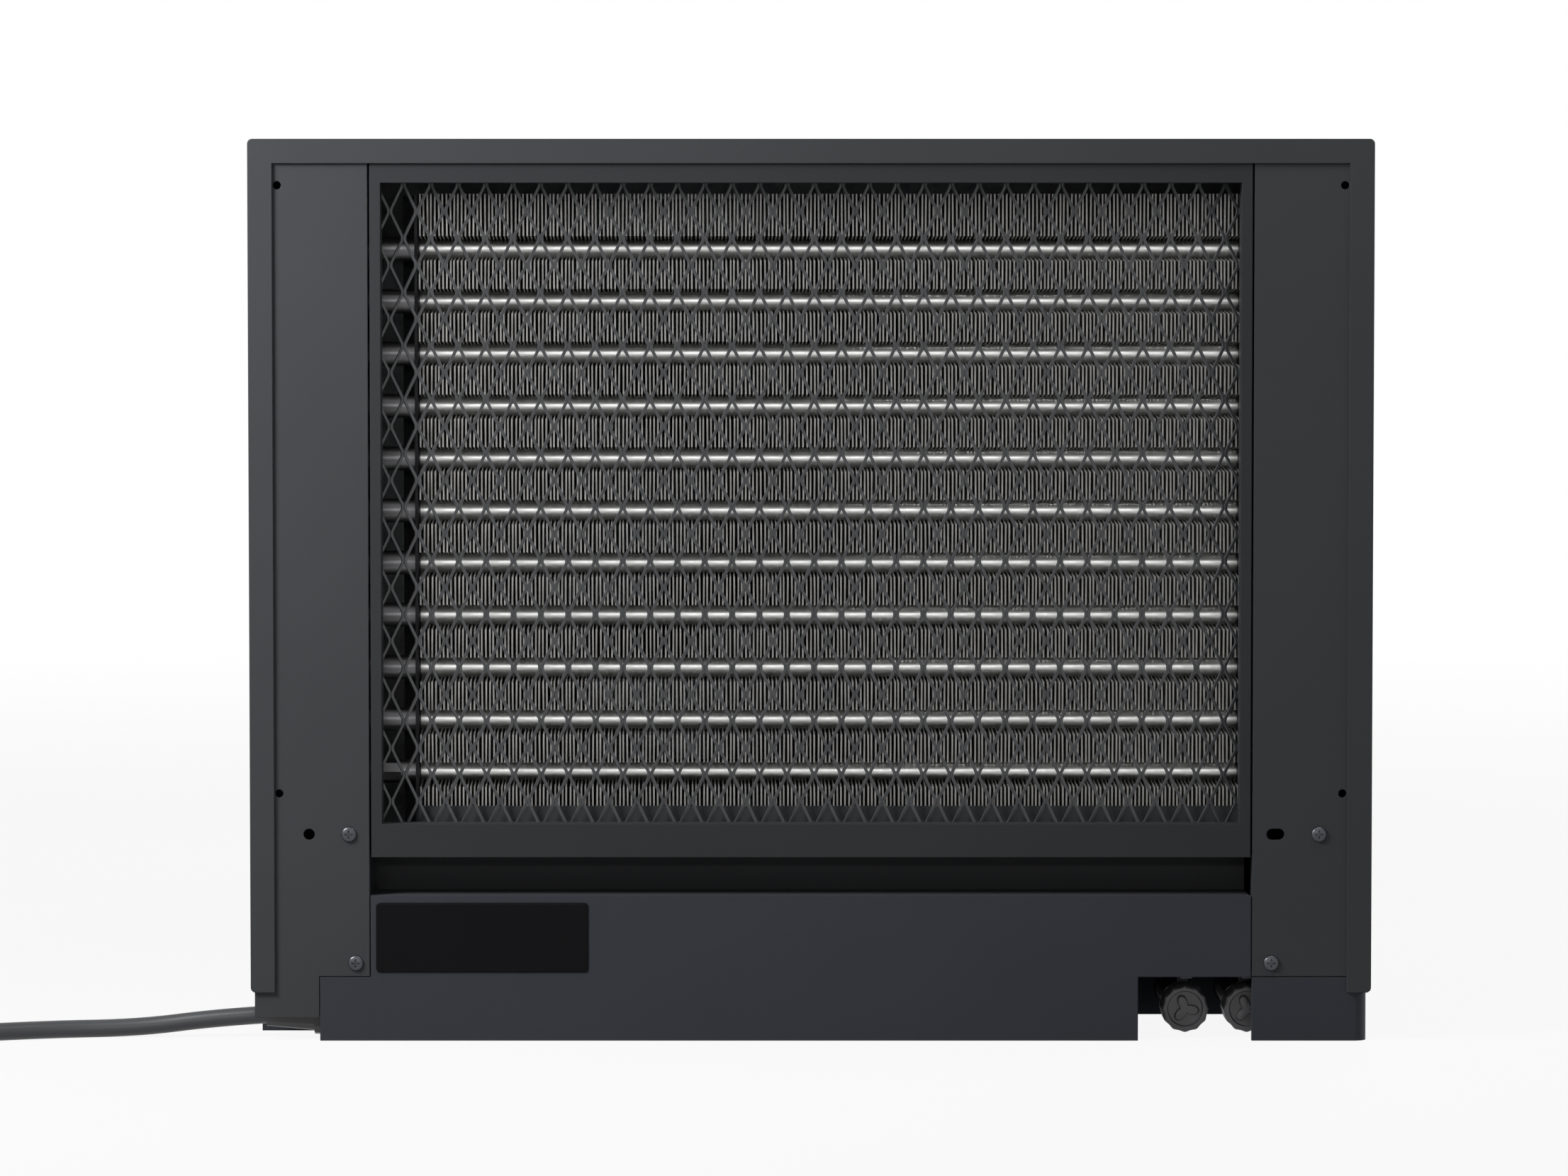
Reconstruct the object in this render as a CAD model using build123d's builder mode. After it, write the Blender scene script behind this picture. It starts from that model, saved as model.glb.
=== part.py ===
from build123d import *
import os
from math import cos, radians, sin, tan

os.makedirs("parts", exist_ok=True)

# Rack-mounted air conditioner, eight rack units high.
# Frame: the face with the mesh guard looks along -Y, +X is to its right, +Z is up.
# The origin is at the middle of the underside. Lengths are in millimetres.

# Cabinet
width = 438.0
height = 352.0
depth = 635.0
sheet = 1.2
lip = 9.5
cover_bottom = 19.0
bend = 2.0
fit = 0.3
flange = 8.0

# Mesh face
post_width = 46.5
seam_gap = 0.8
grille_border = 5.0
grille_bottom = 85.0
grille_head = 17.0
grille_recess = 9.0
frame_bottom = 72.0
slot_bottom = 57.0
slot_depth = 24.0
coil_strip = 6.0
guard_sheet = 1.2
guard_columns = 8
guard_rows = 4
guard_strand = 1.8

# Base pan
pan_sheet = 1.5
pan_wall = 25.0
pan_corner = 5.0
cord_notch_width = 27.0
cord_notch_depth = 32.0
cord_notch_top = 9.0
drain_width = 55.0
drain_mouth = 44.5
drain_from_side = 36.0
drain_depth = 85.0

# Drain outlets and their caps
spout_radius = 7.0
spout_bore = 4.5
spout_sides = 16
spout_height = 11.2
spouts_from_side = (71.8, 47.5)
cap_radius = 9.3
cap_length = 15.0
cap_set_back = 10.7
cap_wall = 2.0
cap_end_gap = 0.6
cap_ribs = 12
cap_clearance = 0.05
strap_width = 4.4
strap_sheet = 1.0
strap_set_back = 6.0

# Screws and small holes of the face, placed outwards from the seams
screw_radius = 1.5
screw_head = 3.0
screw_head_height = 1.2
screw_length = 3.6
screw_sides = 12
screw_clearance = 0.15
post_screw_height = 81.0
foot_screw_height = 30.5
left_screw_out = 8.0
left_foot_screw_out = 5.5
right_screw_out = 26.0
right_foot_screw_out = 7.5
tool_hole = 2.2
tool_hole_out = 23.5
tool_slot_out = 9.0
tool_slot_length = 7.0
pin_hole = 1.6
pin_hole_low = 97.0
pin_hole_head = 18.0

# Rail bolt pattern on the two sides and the air slots beside it
rail_bolt = 2.1
rail_pitch_y = 25.4
rack_unit = 44.45
rail_units = 6
rail_from_rear = 45.0
rail_rise = 9.0
air_slot_width = 5.0
air_slot_height = 90.0
air_slot_pitch = 12.0
air_slot_count = 8
air_slot_from_front = 170.0
air_slot_rise = 24.0

# Condenser coil
coil_left_gap = 13.5
coil_right_gap = -1.0
left_bend_out = 20.0
right_bend_out = 2.4
coil_top_gap = 4.0
coil_depth = 38.0
coil_gap = 4.0
coil_fins = 50
fin_sheet = 0.4
coil_runs = 11
top_run_drop = 25.25
low_run_rise = 18.25
tube_radius = 4.75
pipe_sides = 8
coil_stub = 8.0

# Fan, shaft and motor
shaft_rise = 2.9
shaft_radius = 6.0
shaft_bevel = 0.8
shaft_clearance = 0.05
shroud_depth = 42.0
fan_margin = 18.9
fan_tip_gap = 4.0
fan_blades = 5
fan_hub = 30.0
fan_width = 26.0
blade_sheet = 2.0
blade_overlap = 3.0
blade_root = 30.0
blade_tip = 62.0
root_pitch = 52.0
tip_pitch = 68.0
fan_collar = 22.0
motor_radius = 47.0
motor_length = 84.0
motor_gap = 18.0
motor_bevel = 6.0
bearing_boss = 16.0
boss_length = 8.0
saddle_half = 47.0
saddle_sheet = 3.0
saddle_drop = 30.0
saddle_inset = 14.0
saddle_taper = 6.0
saddle_hole_drop = 12.0

# Compressor
bulkhead_y = -20.0
compressor_from_side = 72.0
compressor_before = 95.0
compressor_radius = 49.0
compressor_head = 23.5
compressor_dome = 26.0
shell_bevel = 9.0
shell_crown = 10.0
foot_reach = 56.0
foot_margin = 14.0
foot_round = 10.0
foot_sheet = 3.0
grommet_radius = 9.0
grommet_height = 18.0
grommet_bore = 3.4
stud_radius = 3.0
nut_flats = 9.0
nut_height = 5.0
terminal_half = 18.0
terminal_out = 14.0
terminal_foot = 70.0
terminal_height = 50.0
terminal_round = 5.0
accumulator_radius = 22.0
accumulator_height = 120.0
accumulator_foot = 20.0
accumulator_bevel = 8.0
accumulator_out = 43.0
accumulator_back = 65.0
arm_foot = 90.0
arm_width = 14.0
arm_height = 10.0
drier_radius = 12.0
drier_length = 80.0
drier_bevel = 4.0
vessel_sides = 16
line_radius = 4.75
line_hole_gap = 3.0
capillary_radius = 2.0
line_from_side = 23.0
line_bend = 14.0

# Cold side
blower_gap = 20.0
blower_margin = 25.0
blower_width = 80.0
blower_blades = 20
blower_blade = 16.0
blower_blade_in = 9.0
blower_blade_turn = 35.0
blower_ring = 8.0
scroll_depth = 100.0
scroll_growth = 10.0
scroll_gap = 8.0
scroll_sheet = 1.5
inlet_margin = 23.0
throat_head = 15.0
throat_drop = 42.0
bracket_width = 14.0
bracket_drop = 30.0
evap_from_rear = 117.5
evap_depth = 50.0
evap_from_side = 69.0
evap_fins = 30
evap_runs = 5
evap_foot = 41.0
evap_head = 24.0
evap_margin = 20.0
tray_height = 30.0
tray_sheet = 2.0
tray_margin = 12.0
tray_round = 6.0
box_width = 43.0
box_length = 168.0
box_bottom = 60.0
box_head = 10.0
box_sheet = 1.5
capacitor_radius = 18.0
capacitor_height = 80.0
tab_width = 6.3
tab_sheet = 0.8
tab_height = 8.0
board_sheet = 1.6
board_length = 90.0
board_inset = 8.0
board_foot = 30.0
board_head = 28.0
standoff = 6.0
standoff_inset = 6.0
transformer_x = 16.0
transformer_y = 26.0
transformer_z = 32.0
transformer_inset = 10.0

# Rear panel with supply outlet, return door and controls
panel_sheet = 3.0
panel_rim = 2.5
panel_depth = 17.0
supply_from_side = 69.0
supply_head = 42.0
supply_height = 44.0
collar_depth = 14.0
return_from_side = 62.0
return_bottom = 42.5
return_head = 77.0
return_collar = 19.0
door_gap = 0.6
door_foot_gap = 3.4
door_slot_height = 8.0
door_slot_pitch = 15.0
door_margin = 10.0
door_pin = 1.5
door_pin_length = 1.5
door_ear = 4.0
door_ear_half = 2.2
pin_clearance = 0.05
pin_socket = 2.0
door_pivot_in = 4.5
door_pivot_up = 2.4
filter_sheet = 10.0
vane_count = 3
vane_pitch = 14.5
vane_chord = 12.0
vane_sheet = 2.0
vane_end_gap = 0.5
vane_pin = 1.3
vane_pin_length = 1.8
link_from_end = 29.0
link_sheet = 1.6
link_width = 4.2
link_slot = 5.0
link_pin = 1.0
link_arm = 4.5
button_count = 4
button_pitch = 26.0
button_from_side = 32.0
button_low = 105.0
button_size = 14.0
button_gap = 0.25
button_length = 8.0
button_bevel = 0.6
button_flange = 1.6
button_overlap = 2.0
window_width = 34.0
window_height = 22.0
window_z = 225.0
window_sheet = 2.0
window_overlap = 3.0

# Mains lead
cord_radius = 3.5
cord_sides = 12
gland_height = 8.6
gland_y_in = 14.0
gland_flange = 7.6
gland_flange_sheet = 3.0
gland_root = 6.2
gland_tip = 4.6
gland_length = 19.0
gland_taper = 5.0
coil_out = 159.0
coil_in = 26.3
coil_radius = 39.0
coil_layers = 4
coil_sides = 28
floor_gap = 0.1
tie_width = 12.0
tie_sheet = 1.2
tie_gap = 1.0
plug_in = 94.3
plug_width = 26.0
plug_height = 20.0
plug_length = 32.0
plug_neck = 16.0
plug_neck_root = 6.0
plug_neck_mouth = 7.7
plug_round = 5.0
blade_length = 17.0
blade_width = 6.3
blade_thick = 1.5
blade_pitch = 12.7
blade_rise = 3.0
earth_radius = 2.4
earth_drop = 5.5

# Derived planes and places
front = -depth / 2
rear = depth / 2
face = front + sheet
inside_half = width / 2 - sheet
pan_half = inside_half - fit
pan_front = face
pan_rear = rear - sheet
panel_top = height - sheet - fit
seam_half = width / 2 - post_width
grille_half = seam_half - grille_border
grille_top = height - grille_head
cord_notch_edge = cord_notch_width - width / 2
drain_right = width / 2 - drain_from_side
drain_left = drain_right - drain_width
spout_places = tuple(width / 2 - distance for distance in spouts_from_side)
pin_hole_heights = (pin_hole_low, height - pin_hole_head)
rail_height = height / 2 + rail_rise
air_slot_middle = height / 2 + air_slot_rise
post_return_low = pan_wall + pan_sheet + fit
guard_front = face + grille_recess
coil_left = coil_left_gap - grille_half
coil_right = grille_half - coil_right_gap
coil_front = guard_front + guard_sheet + coil_gap
coil_back = coil_front + coil_depth
coil_y = (coil_front + coil_back) / 2
coil_low = frame_bottom + sheet
coil_high = grille_top - coil_top_gap
top_run = grille_top - top_run_drop
low_run = grille_bottom + low_run_rise
coil_pitch = (top_run - low_run) / (coil_runs - 1)
shaft_height = (coil_low + coil_high) / 2 + shaft_rise
fan_radius = (coil_high - coil_low) / 2 - fan_margin
blower_radius = fan_radius - blower_margin
inlet_radius = blower_radius - inlet_margin
shroud_back = coil_back + shroud_depth
fan_back = shroud_back - fan_tip_gap
fan_front = fan_back - fan_width
motor_front = shroud_back + motor_gap
motor_back = motor_front + motor_length
saddle_height = shaft_height - saddle_drop
blower_front = bulkhead_y + sheet + fit + blower_gap
wheel_front = blower_front + (scroll_depth - blower_width) / 2
wheel_back = wheel_front + blower_width
compressor_x = width / 2 - compressor_from_side
compressor_y = bulkhead_y - compressor_before
accumulator_x = compressor_x + accumulator_out
accumulator_y = compressor_y - accumulator_back
foot_height = pan_sheet + grommet_height
accumulator_low = foot_height + accumulator_foot
line_x = width / 2 - line_from_side
throat_top = height - throat_head
evap_front = rear - evap_from_rear
evap_half = width / 2 - evap_from_side
evap_y = evap_front + evap_depth / 2
evap_low = pan_sheet + tray_sheet
evap_high = throat_top - throat_drop - evap_head
evap_pitch = (evap_high - evap_foot) / evap_runs
evap_top_run = evap_high - evap_pitch / 2
evap_low_run = evap_foot + evap_pitch / 2
box_top = evap_top_run - box_head
compressor_height = evap_top_run - compressor_head - foot_height
panel_front = rear - panel_sheet
collar_front = rear - collar_depth
return_front = rear - return_collar
supply_half = width / 2 - supply_from_side
supply_middle = height - supply_head
return_half = width / 2 - return_from_side
return_top = height - return_head
door_slots = int((return_top - return_bottom - 2 * door_margin) / door_slot_pitch)
vane_y = (collar_front + rear) / 2
link_at = supply_half - link_from_end
button_x = width / 2 - button_from_side
gland_y = pan_front + gland_y_in
gland_end = cord_notch_edge - gland_flange_sheet - gland_length
floor_line = cord_radius + floor_gap
coil_centre = (-width / 2 - coil_out, face + coil_in)
plug_y = face + plug_in


def facing(y):
    """Plane parallel to the mesh face at depth y, seen as the face is seen."""
    return Plane.XZ.offset(-y)


def block(x_span, y_span, z_span, mode=Mode.ADD):
    """Add or cut the box between two corners."""
    spans = (x_span, y_span, z_span)
    with Locations(tuple((low + high) / 2 for low, high in spans)):
        Box(*(high - low for low, high in spans), mode=mode)


def frame_of(x_span, z_span, hole_x_span, hole_z_span):
    """Draw a rectangle with a rectangular hole on the current sketch."""
    with Locations((sum(x_span) / 2, sum(z_span) / 2)):
        Rectangle(x_span[1] - x_span[0], z_span[1] - z_span[0])
    with Locations((sum(hole_x_span) / 2, sum(hole_z_span) / 2)):
        Rectangle(hole_x_span[1] - hole_x_span[0], hole_z_span[1] - hole_z_span[0], mode=Mode.SUBTRACT)


def serpentine(runs, left, right, top, pitch, inlet, outlet):
    """Give the points of straight runs joined by return bends, from the inlet at the upper right."""
    points = [(inlet, top)]
    for run in range(runs - 1):
        level = top - run * pitch
        side = left if run % 2 == 0 else right
        reach = side + (-1 if run % 2 == 0 else 1) * cos(radians(30)) * pitch / 2
        points += [(side, level), (reach, level - pitch / 4)]
        points += [(reach, level - pitch * 3 / 4), (side, level - pitch)]
    points.append((outlet, top - (runs - 1) * pitch))
    return points


def bent(points, cut):
    """Give the points of a pipe with each corner cut back on both sides."""
    path = [Vector(*points[0])]
    for before, here, after in zip(points, points[1:], points[2:]):
        corner = Vector(*here)
        path.append(corner + (Vector(*before) - corner).normalized() * cut)
        path.append(corner + (Vector(*after) - corner).normalized() * cut)
    path.append(Vector(*points[-1]))
    return path


# Base pan: a folded tray with a cord notch, a drain pocket and a raised front wall
with BuildPart() as base_pan:
    with BuildSketch(Plane.XY):
        with Locations((0, (pan_front + pan_rear) / 2)):
            Rectangle(2 * pan_half, pan_rear - pan_front)
        fillet(vertices(), pan_corner)
        with Locations(((cord_notch_edge - pan_half) / 2, pan_front + cord_notch_depth / 2)):
            Rectangle(pan_half + cord_notch_edge, cord_notch_depth, mode=Mode.SUBTRACT)
        with Locations(((drain_left + drain_right) / 2, pan_front + drain_depth / 2)):
            Rectangle(drain_right - drain_left, drain_depth, mode=Mode.SUBTRACT)
    extrude(amount=pan_wall)
    offset(amount=-pan_sheet, openings=base_pan.faces().sort_by(Axis.Z)[-1])
    with BuildSketch(facing(pan_front)):
        with Locations((0, (pan_wall + slot_bottom) / 2)):
            Rectangle(2 * seam_half - seam_gap, slot_bottom - pan_wall)
    extrude(amount=-pan_sheet)
    block(
        (drain_left - pan_sheet, drain_right + pan_sheet),
        (pan_front + pan_sheet, pan_front + drain_depth + pan_sheet),
        (pan_wall, pan_wall + pan_sheet),
    )
    block(
        (-pan_half, cord_notch_edge + pan_sheet),
        (pan_front + 2 * sheet, pan_front + cord_notch_depth + pan_sheet),
        (pan_wall, pan_wall + pan_sheet),
    )
    block(
        (drain_left + drain_mouth, drain_right + pan_sheet),
        (pan_front, pan_front + 2 * pan_sheet),
        (0, pan_wall),
    )
    with BuildSketch(facing(pan_front + drain_depth)):
        with Locations(*((x, spout_height) for x in spout_places)):
            Circle(spout_radius + fit)
    extrude(amount=-2 * pan_sheet, mode=Mode.SUBTRACT)
    with BuildSketch(Plane.YZ.offset(cord_notch_edge)):
        with Locations((gland_y, gland_height)):
            Circle(gland_tip + fit)
    extrude(amount=2 * pan_sheet, mode=Mode.SUBTRACT)

# Cover: top and two sides folded from one sheet, with a narrow lip round the mesh face
with BuildPart() as cover:
    with BuildSketch(facing(front)):
        with Locations((0, (height + cover_bottom) / 2)):
            Rectangle(width, height - cover_bottom)
        fillet(vertices().group_by(Axis.Z)[-1], bend)
        with Locations((0, (height - sheet + cover_bottom) / 2)):
            Rectangle(2 * inside_half, height - sheet - cover_bottom, mode=Mode.SUBTRACT)
    extrude(amount=-depth)
    with BuildSketch(facing(front)):
        with Locations((0, (height + cover_bottom) / 2)):
            Rectangle(width, height - cover_bottom)
        fillet(vertices().group_by(Axis.Z)[-1], bend)
        with Locations((0, (height - lip + cover_bottom) / 2)):
            Rectangle(width - 2 * lip, height - lip - cover_bottom, mode=Mode.SUBTRACT)
    extrude(amount=-sheet)
    with BuildSketch(Plane.YZ):
        with Locations((rear - rail_from_rear, rail_height)):
            with GridLocations(rail_pitch_y, rail_units * rack_unit, 2, 2):
                Circle(rail_bolt)
        with Locations((front + air_slot_from_front, air_slot_middle)):
            with GridLocations(air_slot_pitch, 1, air_slot_count, 1):
                Rectangle(air_slot_width, air_slot_height)
    extrude(amount=width, both=True, mode=Mode.SUBTRACT)

screw_places = (
    (-seam_half - left_screw_out, post_screw_height),
    (-seam_half - left_foot_screw_out, foot_screw_height),
    (seam_half + right_screw_out, post_screw_height),
    (seam_half + right_foot_screw_out, foot_screw_height),
)

# Left post: a plain upright panel that reaches down beside the cord notch
with BuildPart() as left_post:
    with BuildSketch(facing(face)):
        with BuildLine():
            Polyline(
                (-inside_half + fit, panel_top),
                (-inside_half + fit, cord_notch_top),
                (cord_notch_edge - fit, cord_notch_top),
                (cord_notch_edge - fit, pan_wall + fit),
                (-seam_half, pan_wall + fit),
                (-seam_half, panel_top),
                close=True,
            )
        make_face()
        with Locations(*((-width / 2 + lip + pin_hole + fit, z) for z in pin_hole_heights)):
            Circle(pin_hole, mode=Mode.SUBTRACT)
        with Locations((-seam_half - tool_hole_out, post_screw_height)):
            Circle(tool_hole, mode=Mode.SUBTRACT)
        with Locations(*screw_places[:2]):
            Circle(screw_radius + screw_clearance, mode=Mode.SUBTRACT)
    extrude(amount=-sheet)
    block((-seam_half - sheet, -seam_half), (face, face + grille_recess), (post_return_low, panel_top))

# Right post: its mirror image above the drain pocket, with an oval tool hole
with BuildPart() as right_post:
    with BuildSketch(facing(face)):
        with Locations(((seam_half + inside_half - fit) / 2, (pan_wall + fit + panel_top) / 2)):
            Rectangle(inside_half - fit - seam_half, panel_top - pan_wall - fit)
        with Locations(*((width / 2 - lip - pin_hole - fit, z) for z in pin_hole_heights)):
            Circle(pin_hole, mode=Mode.SUBTRACT)
        with Locations((seam_half + tool_slot_out, post_screw_height)):
            SlotOverall(tool_slot_length, 2 * tool_hole, mode=Mode.SUBTRACT)
        with Locations(*screw_places[2:]):
            Circle(screw_radius + screw_clearance, mode=Mode.SUBTRACT)
    extrude(amount=-sheet)
    block((seam_half, seam_half + sheet), (face, face + grille_recess), (post_return_low, panel_top))

# Face screws: two low pan heads on each post
with BuildPart() as post_screws:
    with BuildSketch(facing(face)):
        with Locations(*screw_places):
            RegularPolygon(screw_head, screw_sides)
    extrude(amount=screw_head_height)
    with BuildSketch(facing(face)):
        with Locations(*screw_places):
            RegularPolygon(screw_radius, screw_sides)
    extrude(amount=-screw_length)

# Grille frame: flat border with a deep return round its opening
with BuildPart() as grille_frame:
    frame_half = seam_half - seam_gap
    opening_x = (-grille_half, grille_half)
    opening_z = (grille_bottom, grille_top)
    with BuildSketch(facing(face)):
        frame_of((-frame_half, frame_half), (frame_bottom, panel_top), opening_x, opening_z)
    extrude(amount=-sheet)
    with BuildSketch(facing(face)):
        frame_of(
            (-grille_half - sheet, grille_half + sheet),
            (grille_bottom - sheet, grille_top + sheet),
            opening_x,
            opening_z,
        )
    extrude(amount=-grille_recess)

# Mesh guard: one slit and stretched sheet, drawn with wide diamonds
with BuildPart() as guard_mesh:
    guard_middle = (grille_bottom + grille_top) / 2
    guard_pitch_x = 2 * grille_half / guard_columns
    guard_pitch_z = (grille_top - grille_bottom) / guard_rows
    guard_rim_x = (-grille_half - 2 * sheet, grille_half + 2 * sheet)
    guard_rim_z = (grille_bottom - 2 * sheet, grille_top + 2 * sheet)
    diamond_x = guard_pitch_x / 2 - guard_strand * guard_pitch_x / guard_pitch_z
    diamond_z = guard_pitch_z / 2 - guard_strand
    diamond = ((-diamond_x, 0), (0, -diamond_z), (diamond_x, 0), (0, diamond_z))
    with BuildSketch(facing(guard_front)):
        with Locations((0, guard_middle)):
            Rectangle(guard_rim_x[1] - guard_rim_x[0], guard_rim_z[1] - guard_rim_z[0])
    extrude(amount=-guard_sheet)
    with BuildSketch(facing(guard_front)):
        with Locations((0, guard_middle)):
            with GridLocations(guard_pitch_x, guard_pitch_z, guard_columns, guard_rows):
                Polygon(*diamond)
            with GridLocations(guard_pitch_x, guard_pitch_z, guard_columns + 1, guard_rows + 1):
                Polygon(*diamond)
            Rectangle(2 * grille_half, grille_top - grille_bottom, mode=Mode.INTERSECT)
    extrude(amount=-guard_sheet, mode=Mode.SUBTRACT)

# Slot channel: the dark recess under the grille and the shelf that carries the coil
with BuildPart() as slot_channel:
    with BuildSketch(Plane.YZ):
        with BuildLine():
            Polyline(
                (face + sheet + fit, slot_bottom),
                (face + slot_depth, slot_bottom),
                (face + slot_depth, frame_bottom),
                (face + sheet + fit, frame_bottom),
                (face + sheet + fit, frame_bottom + sheet),
                (coil_back + flange, frame_bottom + sheet),
                (coil_back + flange, frame_bottom),
                (face + slot_depth + sheet, frame_bottom),
                (face + slot_depth + sheet, slot_bottom - sheet),
                (pan_front + pan_sheet, slot_bottom - sheet),
                (pan_front + pan_sheet, slot_bottom),
                close=True,
            )
        make_face()
    extrude(amount=seam_half - sheet, both=True)
    block(
        (coil_left, seam_half - sheet),
        (coil_front - fit - sheet, coil_front - fit),
        (frame_bottom, grille_bottom + coil_strip),
    )

# Condenser: thin fins, one long tube in return bends and two end plates
with BuildPart() as condenser_fins:
    with Locations(((coil_left + coil_right) / 2, coil_y, (coil_low + coil_high) / 2)):
        with GridLocations((coil_right - coil_left - fin_sheet) / (coil_fins - 1), 1, coil_fins, 1):
            Box(fin_sheet, coil_depth, coil_high - coil_low)

with BuildPart() as condenser_tube:
    with BuildLine(facing(coil_y)) as condenser_path:
        left_bend = coil_left - left_bend_out
        right_bend = coil_right + right_bend_out
        inlet = coil_right + coil_stub
        outlet = coil_left - coil_stub
        Polyline(*serpentine(coil_runs, left_bend, right_bend, top_run, coil_pitch, inlet, outlet))
    with BuildSketch(Plane(condenser_path.line @ 0, z_dir=condenser_path.line % 0)):
        RegularPolygon(tube_radius, pipe_sides)
    sweep(path=condenser_path.line, transition=Transition.RIGHT)

with BuildPart() as condenser_end_plates:
    block((coil_left - sheet, coil_left), (coil_front, coil_back), (coil_low, coil_high))
    block((coil_left - flange, coil_left), (coil_back - sheet, coil_back), (coil_low, coil_high))
    block((coil_right, coil_right + sheet), (coil_front, coil_back), (coil_low, coil_high))
    block((coil_right, coil_right + flange), (coil_back - sheet, coil_back), (coil_low, coil_high))

# Fan shroud: a shallow box behind the coil with a collared round mouth
with BuildPart() as fan_shroud:
    shroud_x = (coil_left - flange, coil_right + flange)
    shroud_z = (coil_low, coil_high)
    with BuildSketch(facing(coil_back)):
        frame_of(
            shroud_x,
            shroud_z,
            (shroud_x[0] + sheet, shroud_x[1] - sheet),
            (shroud_z[0] + sheet, shroud_z[1] - sheet),
        )
    extrude(amount=-shroud_depth)
    with BuildSketch(facing(shroud_back)):
        with Locations((sum(shroud_x) / 2, sum(shroud_z) / 2)):
            Rectangle(shroud_x[1] - shroud_x[0], shroud_z[1] - shroud_z[0])
        with Locations((0, shaft_height)):
            Circle(fan_radius + fan_tip_gap, mode=Mode.SUBTRACT)
    extrude(amount=sheet)
    with BuildSketch(facing(shroud_back)):
        with Locations((0, shaft_height)):
            Circle(fan_radius + fan_tip_gap + sheet)
            Circle(fan_radius + fan_tip_gap, mode=Mode.SUBTRACT)
    extrude(amount=fan_collar)

# Rotor: shaft, axial fan and blower wheel turn together
with BuildPart() as motor_shaft:
    with BuildSketch(facing(fan_front)):
        with Locations((0, shaft_height)):
            Circle(shaft_radius)
    extrude(amount=-(wheel_back - fan_front))
    chamfer(motor_shaft.edges().filter_by(GeomType.CIRCLE), shaft_bevel)

with BuildPart() as condenser_fan:
    with BuildSketch(facing(fan_back)):
        with Locations((0, shaft_height)):
            Circle(fan_hub)
    extrude(amount=fan_width)
    for blade in range(fan_blades):
        turn = radians(360 / fan_blades * blade)
        outward = Vector(cos(turn), 0, sin(turn))
        centre = Vector(0, (fan_front + fan_back) / 2, shaft_height)
        root_plane = Plane(centre + outward * (fan_hub - blade_overlap), x_dir=(0, 1, 0), z_dir=outward)
        tip_plane = Plane(centre + outward * (fan_radius + blade_overlap), x_dir=(0, 1, 0), z_dir=outward)
        with BuildSketch(root_plane.rotated((0, 0, root_pitch))):
            Rectangle(blade_root, 1.5 * blade_sheet)
        with BuildSketch(tip_plane.rotated((0, 0, tip_pitch))):
            Rectangle(blade_tip, blade_sheet)
        loft(ruled=True)
    with BuildSketch(facing(fan_back)):
        with Locations((0, shaft_height)):
            Circle(fan_radius)
            Circle(shaft_radius + shaft_clearance, mode=Mode.SUBTRACT)
    extrude(amount=fan_width, mode=Mode.INTERSECT)

with BuildPart() as blower_wheel:
    with BuildSketch(facing(wheel_front)):
        with Locations((0, shaft_height)):
            Circle(blower_radius)
    extrude(amount=-blade_sheet)
    with BuildSketch(facing(wheel_front)):
        with Locations((0, shaft_height)):
            Circle(3 * shaft_radius)
    extrude(amount=-blower_width / 2)
    with BuildSketch(facing(wheel_front)):
        with Locations((0, shaft_height)):
            with PolarLocations(blower_radius - blower_blade_in, blower_blades):
                Rectangle(blower_blade, blade_sheet, rotation=blower_blade_turn)
    extrude(amount=-blower_width)
    with BuildSketch(facing(wheel_back)):
        with Locations((0, shaft_height)):
            Circle(blower_radius)
            Circle(blower_radius - blower_ring, mode=Mode.SUBTRACT)
    extrude(amount=blade_sheet)
    with BuildSketch(facing(wheel_front)):
        with Locations((0, shaft_height)):
            Circle(shaft_radius + shaft_clearance)
    extrude(amount=-blower_width, mode=Mode.SUBTRACT)

# Fan motor on its saddle
with BuildPart() as fan_motor:
    with BuildSketch(facing(motor_front)):
        with Locations((0, shaft_height)):
            Circle(motor_radius)
    extrude(amount=-motor_length)
    chamfer(fan_motor.edges().filter_by(GeomType.CIRCLE), motor_bevel)
    with BuildSketch(facing(motor_front - boss_length)):
        with Locations((0, shaft_height)):
            RegularPolygon(bearing_boss, vessel_sides)
    extrude(amount=-(motor_length + 2 * boss_length))
    with BuildSketch(facing(motor_front - boss_length)):
        with Locations((0, shaft_height)):
            Circle(shaft_radius + shaft_clearance)
    extrude(amount=-(motor_length + 2 * boss_length), mode=Mode.SUBTRACT)

with BuildPart() as motor_saddle:
    block(
        (-saddle_half, saddle_half),
        (motor_front + saddle_inset, motor_back - saddle_inset),
        (pan_sheet, pan_sheet + saddle_sheet),
    )
    for cheek in (motor_front + saddle_inset, motor_back - saddle_inset - saddle_sheet):
        with BuildSketch(facing(cheek)):
            with BuildLine():
                Polyline(
                    (-saddle_half, pan_sheet),
                    (saddle_half, pan_sheet),
                    (saddle_half - saddle_taper, saddle_height),
                    (saddle_taper - saddle_half, saddle_height),
                    close=True,
                )
            make_face()
            with Locations((0, shaft_height)):
                Circle(motor_radius + fit, mode=Mode.SUBTRACT)
            with Locations((0, saddle_height / 2 - saddle_hole_drop)):
                Rectangle(saddle_half, saddle_height / 3, mode=Mode.SUBTRACT)
        extrude(amount=-saddle_sheet)

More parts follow.
